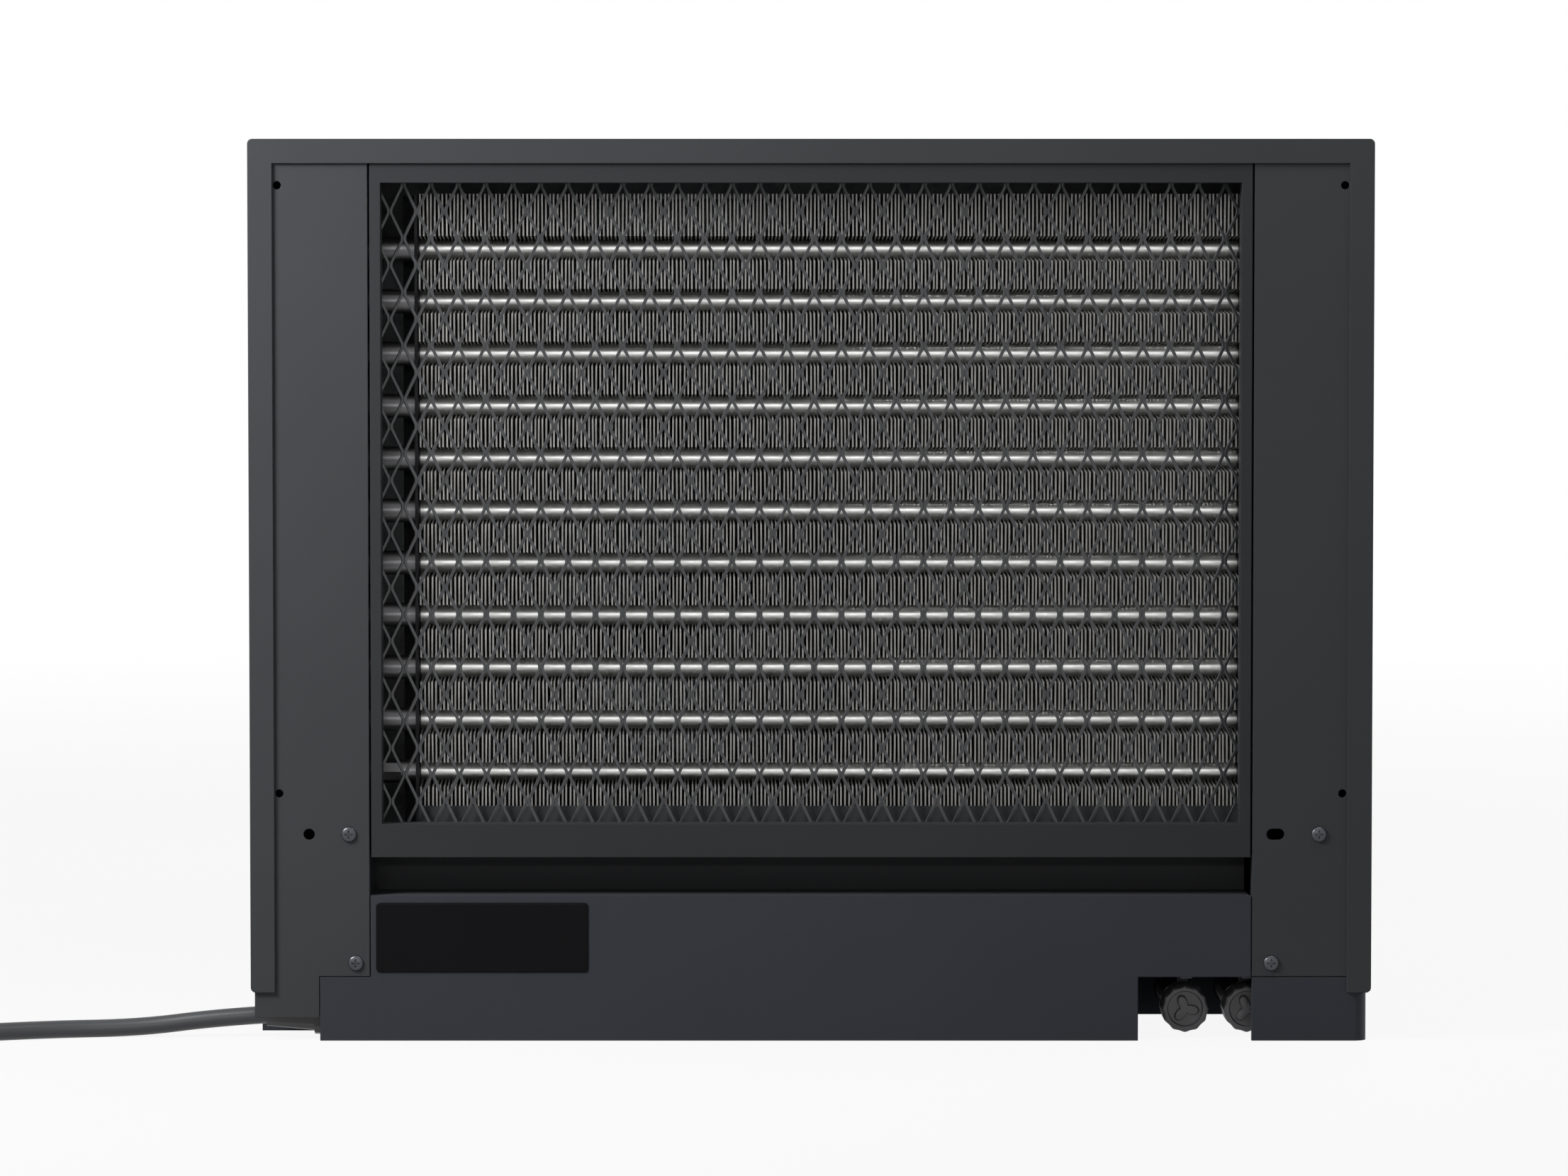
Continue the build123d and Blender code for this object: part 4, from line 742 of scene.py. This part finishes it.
@dataclass
class MeshGuard:
    """Guard of slit and stretched sheet: strands that lean to and fro and meet in knuckles."""

    pitch_x: float = 10.7 * MM
    pitch_z: float = 21.0 * MM
    strand: float = 1.1 * MM
    knuckle_share: float = 0.14
    lap_share: float = 0.45
    depth_share: float = 0.8
    tilt_deg: float = 24.0
    rim_width: float = 2.4 * MM

    def strands(self, low: Vector, high: Vector) -> np.ndarray:
        """Work out the strands between two corners.

        A strand's middle swings by a clipped triangle wave of its height, every second strand the
        other way; its section is a small rectangle tilted about the upright axis.

        Args:
            low: lowest corner of the sheet.
            high: highest corner of the sheet.

        Returns:
            Points as strands by rings by four corners by three.
        """
        half = self.pitch_z / 2
        flat = self.knuckle_share * half / 2
        count = math.ceil((high.z - low.z) / half) + 1
        joints = low.z + half * np.arange(-1, count)[:, None] + np.array([-flat, flat])
        height = np.unique(np.clip(joints.ravel(), low.z, high.z))
        phase = (height - low.z) / self.pitch_z
        swing = 4.0 * np.abs(phase - np.floor(phase + 0.5)) - 1.0
        swing = np.clip(swing / (1.0 - self.knuckle_share), -1.0, 1.0)
        places = np.arange(low.x + self.pitch_x / 4, high.x, self.pitch_x / 2)
        way = np.where(np.arange(len(places)) % 2 == 0, 1.0, -1.0)
        reach = self.pitch_x / 4 - self.lap_share * self.strand
        middle = places[:, None] + way[:, None] * reach * swing
        deep = self.depth_share * (high.y - low.y) / 2
        corner = np.array([[-1, -1], [1, -1], [1, 1], [-1, 1]]) * [self.strand / 2, deep]
        tilt = math.radians(self.tilt_deg)
        across = corner[:, 0] * math.cos(tilt) - corner[:, 1] * math.sin(tilt)
        inward = corner[:, 0] * math.sin(tilt) + corner[:, 1] * math.cos(tilt)
        x = middle[:, :, None] + across
        y = np.broadcast_to((low.y + high.y) / 2 + inward, x.shape)
        z = np.broadcast_to(height[:, None], x.shape)
        return np.stack([x, y, z], axis=-1)

    def rim(self, low: Vector, high: Vector) -> np.ndarray:
        """Work out the rim: four straight bars, each a rectangle carried through the sheet.

        Args:
            low: lowest corner of the sheet.
            high: highest corner of the sheet.

        Returns:
            Points as bars by two rings by four corners by three.
        """
        in_x = (low.x + self.rim_width, high.x - self.rim_width)
        in_z = (low.z + self.rim_width, high.z - self.rim_width)
        left = np.array([low.x, low.x, low.x, in_x[1]])
        right = np.array([high.x, high.x, in_x[0], high.x])
        foot = np.array([low.z, in_z[1], in_z[0], in_z[0]])
        head = np.array([in_z[0], high.z, in_z[1], in_z[1]])
        y = np.broadcast_to(np.array([low.y, high.y])[:, None], (4, 2, 4))
        x = np.broadcast_to(np.stack([left, right, right, left], axis=1)[:, None], y.shape)
        z = np.broadcast_to(np.stack([foot, foot, head, head], axis=1)[:, None], y.shape)
        return np.stack([x, y, z], axis=-1)

    def build(self) -> None:
        """Make the strands and the plain rim that the grille frame holds."""
        low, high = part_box("guard_mesh")
        strands = loft_mesh("guard_strands", self.strands(low, high), crease_deg=30.0)
        add_piece(strands, MESH_ENAMEL, replaced=("guard_mesh",))
        rim = loft_mesh("guard_rim", self.rim(low, high))
        add_piece(rim, MESH_ENAMEL, replaced=("guard_mesh",))


@dataclass
class CondenserCoil:
    """Condenser: close thin fins on one long bright tube in return bends."""

    fin_pitch: float = 1.5 * MM
    fin_sheet: float = 0.22 * MM
    fin_hem: float = 0.62 * MM
    fin_lean: float = 0.5 * MM
    fin_waver: float = 0.14 * MM
    waver_length: float = 90.0 * MM
    waver_seed: int = 7
    groove_low: float = 3.4 * MM
    groove_high: float = 4.8 * MM
    runs: int = 11
    run_pitch: float = 20.65 * MM
    tube_radius: float = 4.75 * MM
    tube_sides: int = 24
    bend_steps: int = 14
    stub: float = 8.0 * MM
    left_leg: float = 20.0 * MM
    right_leg: float = 2.4 * MM

    def run_heights(self) -> np.ndarray:
        """Give the heights of the tube's level runs, the lowest first."""
        low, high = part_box("condenser_tube")
        return (low.z + high.z) / 2 + self.run_pitch * (np.arange(self.runs) - (self.runs - 1) / 2)

    def front_edge(self) -> tuple[np.ndarray, np.ndarray]:
        """Work out a fin's front edge: straight, but grooved round each run of the tube.

        Returns:
            Heights of the edge's points, and how far each lies behind the front.
        """
        fin_low, fin_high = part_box("condenser_fins")
        low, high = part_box("condenser_tube")
        groove = (low.y + high.y) / 2 - fin_low.y
        corners = [-self.groove_high, -self.groove_low, self.groove_low, self.groove_high]
        grooves = self.run_heights()[:, None] + np.array(corners)
        height = np.concatenate([[fin_low.z], grooves.ravel(), [fin_high.z]])
        back = np.concatenate([[0.0], np.tile([0.0, groove, groove, 0.0], self.runs), [0.0]])
        return height, back

    def fins(self) -> np.ndarray:
        """Work out the fins: thin strips that widen to a hemmed front edge and lean to one side.

        A fin's outline is its front edge and two corners at the rear, carried through the sheet. Its
        two sides part evenly from rear to front, and it wavers sideways by a sine of its height, each
        fin with its own phase.

        Returns:
            Points as fins by two sides by the outline's points by three.
        """
        low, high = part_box("condenser_fins")
        room = self.fin_hem + self.fin_lean + self.fin_waver
        count = round((high.x - low.x) / self.fin_pitch)
        place = np.linspace(low.x + self.fin_waver, high.x - room, count)
        height, back = self.front_edge()
        z = np.append(height, [high.z, low.z])
        y = np.append(low.y + back, [high.y, high.y])
        forward = (high.y - y) / (high.y - low.y)
        spread = self.fin_lean + self.fin_hem - self.fin_sheet
        sides = np.stack([self.fin_lean * forward, self.fin_sheet + spread * forward])
        phase = np.random.default_rng(self.waver_seed).uniform(0.0, TURN, count)
        waver = self.fin_waver * np.sin(TURN * z / self.waver_length + phase[:, None])
        x = (place[:, None] + waver)[:, None] + sides
        return np.stack([x, np.broadcast_to(y, x.shape), np.broadcast_to(z, x.shape)], axis=-1)

    def tube(self) -> np.ndarray:
        """Work out the tube: a round section carried along level runs and half-round bends.

        Along a bend the path is the bend's reach times the sine of its angle outwards, and half
        the run pitch times one less the cosine downwards. A ring lies at each edge of the fins.

        Returns:
            Points as one piece by rings by sides by three.
        """
        low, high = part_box("condenser_tube")
        fin_low, fin_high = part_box("condenser_fins")
        top = self.run_heights()[-1]
        bend = np.concatenate([[0.0], np.linspace(0.0, math.pi, self.bend_steps), [math.pi]])
        turn = np.arange(self.runs - 1)[:, None]
        way = np.where(turn % 2 == 0, -1.0, 1.0)
        edge = np.where(turn % 2 == 0, fin_low.x, fin_high.x)
        leg = np.where(turn % 2 == 0, self.left_leg, self.right_leg)
        side = edge + way * leg
        reach = np.where(turn % 2 == 0, side - low.x, high.x - side) - self.tube_radius
        x = side + way * reach * np.sin(bend)
        x[:, [0, -1]] = edge
        z = top - turn * self.run_pitch - self.run_pitch * (1.0 - np.cos(bend)) / 2
        along_x = way * reach * np.cos(bend)
        along_z = np.broadcast_to(-self.run_pitch * np.sin(bend) / 2, x.shape)
        foot = top - self.run_pitch * (self.runs - 1)
        path = np.stack([x, z], axis=-1).reshape(-1, 2)
        inlet = [[fin_high.x + self.stub, top], [fin_high.x, top]]
        outlet = [[fin_low.x, foot], [fin_low.x - self.stub, foot]]
        path = np.concatenate([inlet, path, outlet])
        along = np.stack([along_x, along_z], axis=-1).reshape(-1, 2)
        ahead = [[-1.0, 0.0], [-1.0, 0.0]]
        along = np.concatenate([ahead, along, ahead])
        along /= np.linalg.norm(along, axis=1, keepdims=True)
        out = np.stack([-along[:, 1], along[:, 0]], axis=1)
        angles = np.linspace(0.0, TURN, self.tube_sides, endpoint=False)
        x = path[:, :1] + self.tube_radius * out[:, :1] * np.cos(angles)
        z = path[:, 1:] + self.tube_radius * out[:, 1:] * np.cos(angles)
        y = np.broadcast_to((low.y + high.y) / 2 + self.tube_radius * np.sin(angles), x.shape)
        return np.stack([x, y, z], axis=-1)[None]

    def build(self) -> None:
        """Make fins and tube and finish the end plates."""
        add_piece(
            loft_mesh("coil_fins", self.fins(), crease_deg=20.0),
            FIN_STRIP,
            replaced=("condenser_fins",),
        )
        tube = loft_mesh("coil_tube", self.tube())
        add_piece(tube, BRIGHT_TUBE, replaced=("condenser_tube",))
        # darkens the tube outside the fins: painted shade
        self.paint_shade_on_bends(tube)
        # near-black end plates: painted shade for the gap beside the fins
        dress(END_PLATE_SHADE, "condenser_end_plates")

    def paint_shade_on_bends(self, mesh: bpy.types.Mesh) -> None:
        """Give the tube outside the fins a darker finish: painted shade for the gap beside the coil that
        the frame shades.

        Args:
            mesh: mesh of the tube.
        """
        mesh.materials.append(SHADED_TUBE.build())
        middle = np.zeros(3 * len(mesh.polygons), dtype=np.float32)
        mesh.polygons.foreach_get("center", middle)
        low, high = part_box("condenser_fins")
        place = middle.reshape(-1, 3)[:, 0]
        painted_shade_mask = (place < low.x) | (place > high.x)
        mesh.polygons.foreach_set("material_index", painted_shade_mask.astype(np.int32))
        mesh.update()


@dataclass
class FaceScrews:
    """Four pan-head screws of the posts, with cross recesses.

    Dome and recess are given ring by ring, as shares of the head's radius and rise.
    """

    head: float = 3.0 * MM
    rise: float = 1.2 * MM
    shank: float = 1.5 * MM
    reach: float = 3.6 * MM
    dome: tuple[tuple[float, float], ...] = (
        (1.0, 0.0),
        (1.0, 0.35),
        (0.94, 0.62),
        (0.8, 0.85),
        (0.62, 1.0),
    )
    recess: tuple[tuple[float, float], ...] = ((0.55, 1.0), (0.42, 0.25))
    cross_waist: float = 0.36
    cross_power: int = 3
    sides: int = 48
    places_mm: tuple[tuple[float, float], ...] = (
        (-180.5, 81.0),
        (-178.0, 30.5),
        (198.5, 81.0),
        (180.0, 30.5),
    )

    def build(self) -> None:
        """Make the screws: a domed profile turned about its axis, its recess drawn as a cross.

        The recess narrows to its waist by a power of the cosine of twice the angle.
        """
        angles = np.linspace(0.0, TURN, self.sides, endpoint=False)
        arms = np.abs(np.cos(2.0 * angles)) ** self.cross_power
        cross = self.cross_waist + (1.0 - self.cross_waist) * arms
        shank = [[self.shank, -self.reach], [self.shank, 0.0]]
        head = np.array([*self.dome, *self.recess]) * [self.head, self.rise]
        rings = np.concatenate([shank, head])
        shape = np.ones((len(rings), self.sides))
        shape[-len(self.recess) :] = cross
        screw = turned(rings * [1.0, -1.0], angles, shape)
        face_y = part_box("left_post")[0].y
        place = np.array([[x * MM, face_y, z * MM] for x, z in self.places_mm])
        mesh = loft_mesh("face_screws", screw + place[:, None, None], crease_deg=30.0)
        add_piece(mesh, BLACK_ZINC, replaced=("post_screws",))


@dataclass
class DrainOutlets:
    """Two drain spouts with fluted screw caps and their straps."""

    flutes: int = 12
    flute_depth: float = 0.045
    flute_power: float = 0.7
    lobes: int = 3
    lobe_depth: float = 0.32
    lobe_turn: float = 0.5
    sides: int = 96
    bore: float = 7.05 * MM
    wall: float = 2.0 * MM
    rim_share: float = 0.12
    rim_round: float = 0.3
    rim_flat: float = 2.0
    rim_foot: float = 2.4
    bevel: float = 0.5 * MM
    pole: float = 0.3 * MM
    grip_sunk: float = 1.1 * MM
    grip_round: float = 0.2 * MM
    grip_shares: tuple[float, float, float] = (0.62, 0.56, 0.5)

    def cap(self, node: str) -> np.ndarray:
        """Work out one cap: a cup turned about its axis, fluted outside, with a lobed grip in its end.

        The flutes cut the radius by a power of half of one less the cosine of their count times the
        angle, and the grip's lobes by one less the cosine of theirs.

        Args:
            node: frame node that the cap stands for.

        Returns:
            Points as one piece by rings by sides by three.
        """
        low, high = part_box(node)
        radius = (high.x - low.x) / 2
        length = high.y - low.y
        angles = np.linspace(0.0, TURN, self.sides, endpoint=False)
        wave = 0.5 - 0.5 * np.cos(self.flutes * angles)
        flute = 1.0 - self.flute_depth * wave**self.flute_power
        lobe = 1.0 - self.lobe_depth * (1.0 - np.cos(self.lobes * angles + self.lobe_turn))
        inner, rim = length - self.wall, self.rim_share * radius
        sunk = length - self.grip_sunk
        grip_foot, grip_edge, grip_top = np.array(self.grip_shares) * radius
        rings = np.array(
            [
                [self.pole, inner],
                [self.bore, inner],
                [self.bore, 0.0],
                [radius - self.bevel, 0.0],
                [radius, self.bevel],
                [radius, length - rim],
                [radius - self.rim_round * rim, length - self.rim_round * rim],
                [radius - rim, length],
                [radius - self.rim_flat * rim, length],
                [radius - self.rim_foot * rim, sunk],
                [grip_foot, sunk],
                [grip_edge, length - self.grip_round],
                [grip_top, length],
                [self.pole, length],
            ]
        )
        outside, grip = slice(3, 7), slice(10, 13)
        shape = np.ones((len(rings), self.sides))
        shape[outside] = flute
        shape[grip] = lobe
        cup = turned(rings * [1.0, -1.0], angles, shape)
        middle = np.array([(low.x + high.x) / 2, high.y, (low.z + high.z) / 2])
        return (cup + middle)[None]

    def build(self) -> None:
        """Make the caps and finish spouts and straps."""
        for node, body in (("drain_cap_1", Body.CAP_1), ("drain_cap_2", Body.CAP_2)):
            mesh = loft_mesh(f"fluted_{node}", self.cap(node), crease_deg=40.0)
            add_piece(mesh, FADED_NYLON, body, replaced=(node,))
        dress(NYLON, "drain_spouts")
        dress(BLOOMED_RUBBER, "cap_straps")


@dataclass
class Cabinet:
    """Folded and painted steel: cover, posts, grille frame, slot channel and base pan."""

    plate_left: float = -170.0 * MM
    plate_right: float = -87.0 * MM
    plate_low: float = 26.8 * MM
    plate_high: float = 54.2 * MM
    plate_sheet: float = 0.35 * MM
    plate_corner: float = 1.6 * MM
    plate_rises: tuple[float, ...] = (0.0, 0.7, 1.0, 1.0)
    plate_insets_mm: tuple[float, ...] = (0.0, 0.0, 0.15, 0.9)
    corner_steps: int = 6

    def plate(self) -> np.ndarray:
        """Work out the bare plate on the base's front: a rounded rectangle carried outwards.

        Each corner is a quarter circle about a point set in by the corner radius.

        Returns:
            Points as one piece by rings by sides by three.
        """
        face_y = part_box("base_pan")[0].y
        quarter = np.linspace(0.0, TURN / 4, self.corner_steps)
        angles = (quarter + np.arange(4)[:, None] * TURN / 4).ravel()
        right = np.repeat([1, 0, 0, 1], self.corner_steps)
        up = np.repeat([1, 1, 0, 0], self.corner_steps)
        set_in = self.plate_corner
        middle_x = np.where(right, self.plate_right - set_in, self.plate_left + set_in)
        middle_z = np.where(up, self.plate_high - set_in, self.plate_low + set_in)
        rise = np.array(self.plate_rises) * self.plate_sheet
        radius = set_in - np.array(self.plate_insets_mm) * MM
        x = middle_x + radius[:, None] * np.cos(angles)
        z = middle_z + radius[:, None] * np.sin(angles)
        y = np.broadcast_to(face_y - rise[:, None], x.shape)
        return np.stack([x, y, z], axis=-1)[None]

    def build(self) -> None:
        """Coat the sheets and fix the bare plate."""
        dress(POWDER_COAT, "cover", "left_post", "right_post", "slot_channel")
        dress(FRAME_COAT, "grille_frame")
        dress(PAN_COAT, "base_pan")
        add_piece(loft_mesh("bare_plate", self.plate()), BARE_PLATE)


@dataclass
class HotSide:
    """What stands behind the coil: fan, motor, compressor and refrigerant lines."""

    def build(self) -> None:
        """Finish the nodes of the hot side."""
        dress(GALVANISED, "fan_shroud", "bulkhead", "motor_saddle")
        dress(GROUND_STEEL, "motor_shaft", "compressor_studs")
        dress(NYLON, "condenser_fan", "terminal_cover")
        dress(SHELL_ENAMEL, "fan_motor", "compressor", "accumulator")
        dress(NEOPRENE, "compressor_grommets")
        dress(COPPER, "discharge_line", "suction_line", "filter_drier", "capillary")
        # the liquid line takes the same dark tube finish: painted shade where it shows in the shaded gap
        dress(SHADED_TUBE, "liquid_line")


@dataclass
class ColdSide:
    """Blower, duct, evaporator, tray and the control box."""

    def build(self) -> None:
        """Finish the nodes of the cold side."""
        dress(NYLON, "blower_wheel")
        dress(GALVANISED, "blower_housing", "evaporator_end_plates", "control_box")
        dress(BEAD_FOAM, "supply_duct", "condensate_tray")
        dress(FIN_STRIP, "evaporator_fins")
        dress(COPPER, "evaporator_tube")
        dress(CAN_METAL, "run_capacitor")
        dress(LAMINATE, "control_board")


@dataclass
class RearFace:
    """Moulded rear face: panel, return door with its filter, vanes, window and buttons."""

    vanes: int = 3
    buttons: int = 4

    def build(self) -> None:
        """Finish the nodes of the rear face."""
        dress(MOULDED_ABS, "rear_panel", "return_door", "vane_link")
        dress(MOULDED_ABS, *(f"supply_vane_{number}" for number in range(1, self.vanes + 1)))
        dress(BUTTON_PLASTIC, *(f"push_button_{number}" for number in range(1, self.buttons + 1)))
        dress(SMOKED_ACRYLIC, "display_window")
        dress(FIBRE_PAD, "return_filter")


def main() -> None:
    """Build the studio and dress the object piece by piece."""
    logging.basicConfig(level=logging.INFO, format="%(name)s %(message)s")
    scene = bpy.context.scene
    scene.view_settings.view_transform = "Standard"
    for part in (
        Studio(),
        MainsLead(),
        Cabinet(),
        FaceScrews(),
        MeshGuard(),
        CondenserCoil(),
        DrainOutlets(),
        HotSide(),
        ColdSide(),
        RearFace(),
    ):
        LOG.info("building %s", type(part).__name__)
        part.build()


if __name__ == "__main__":
    main()
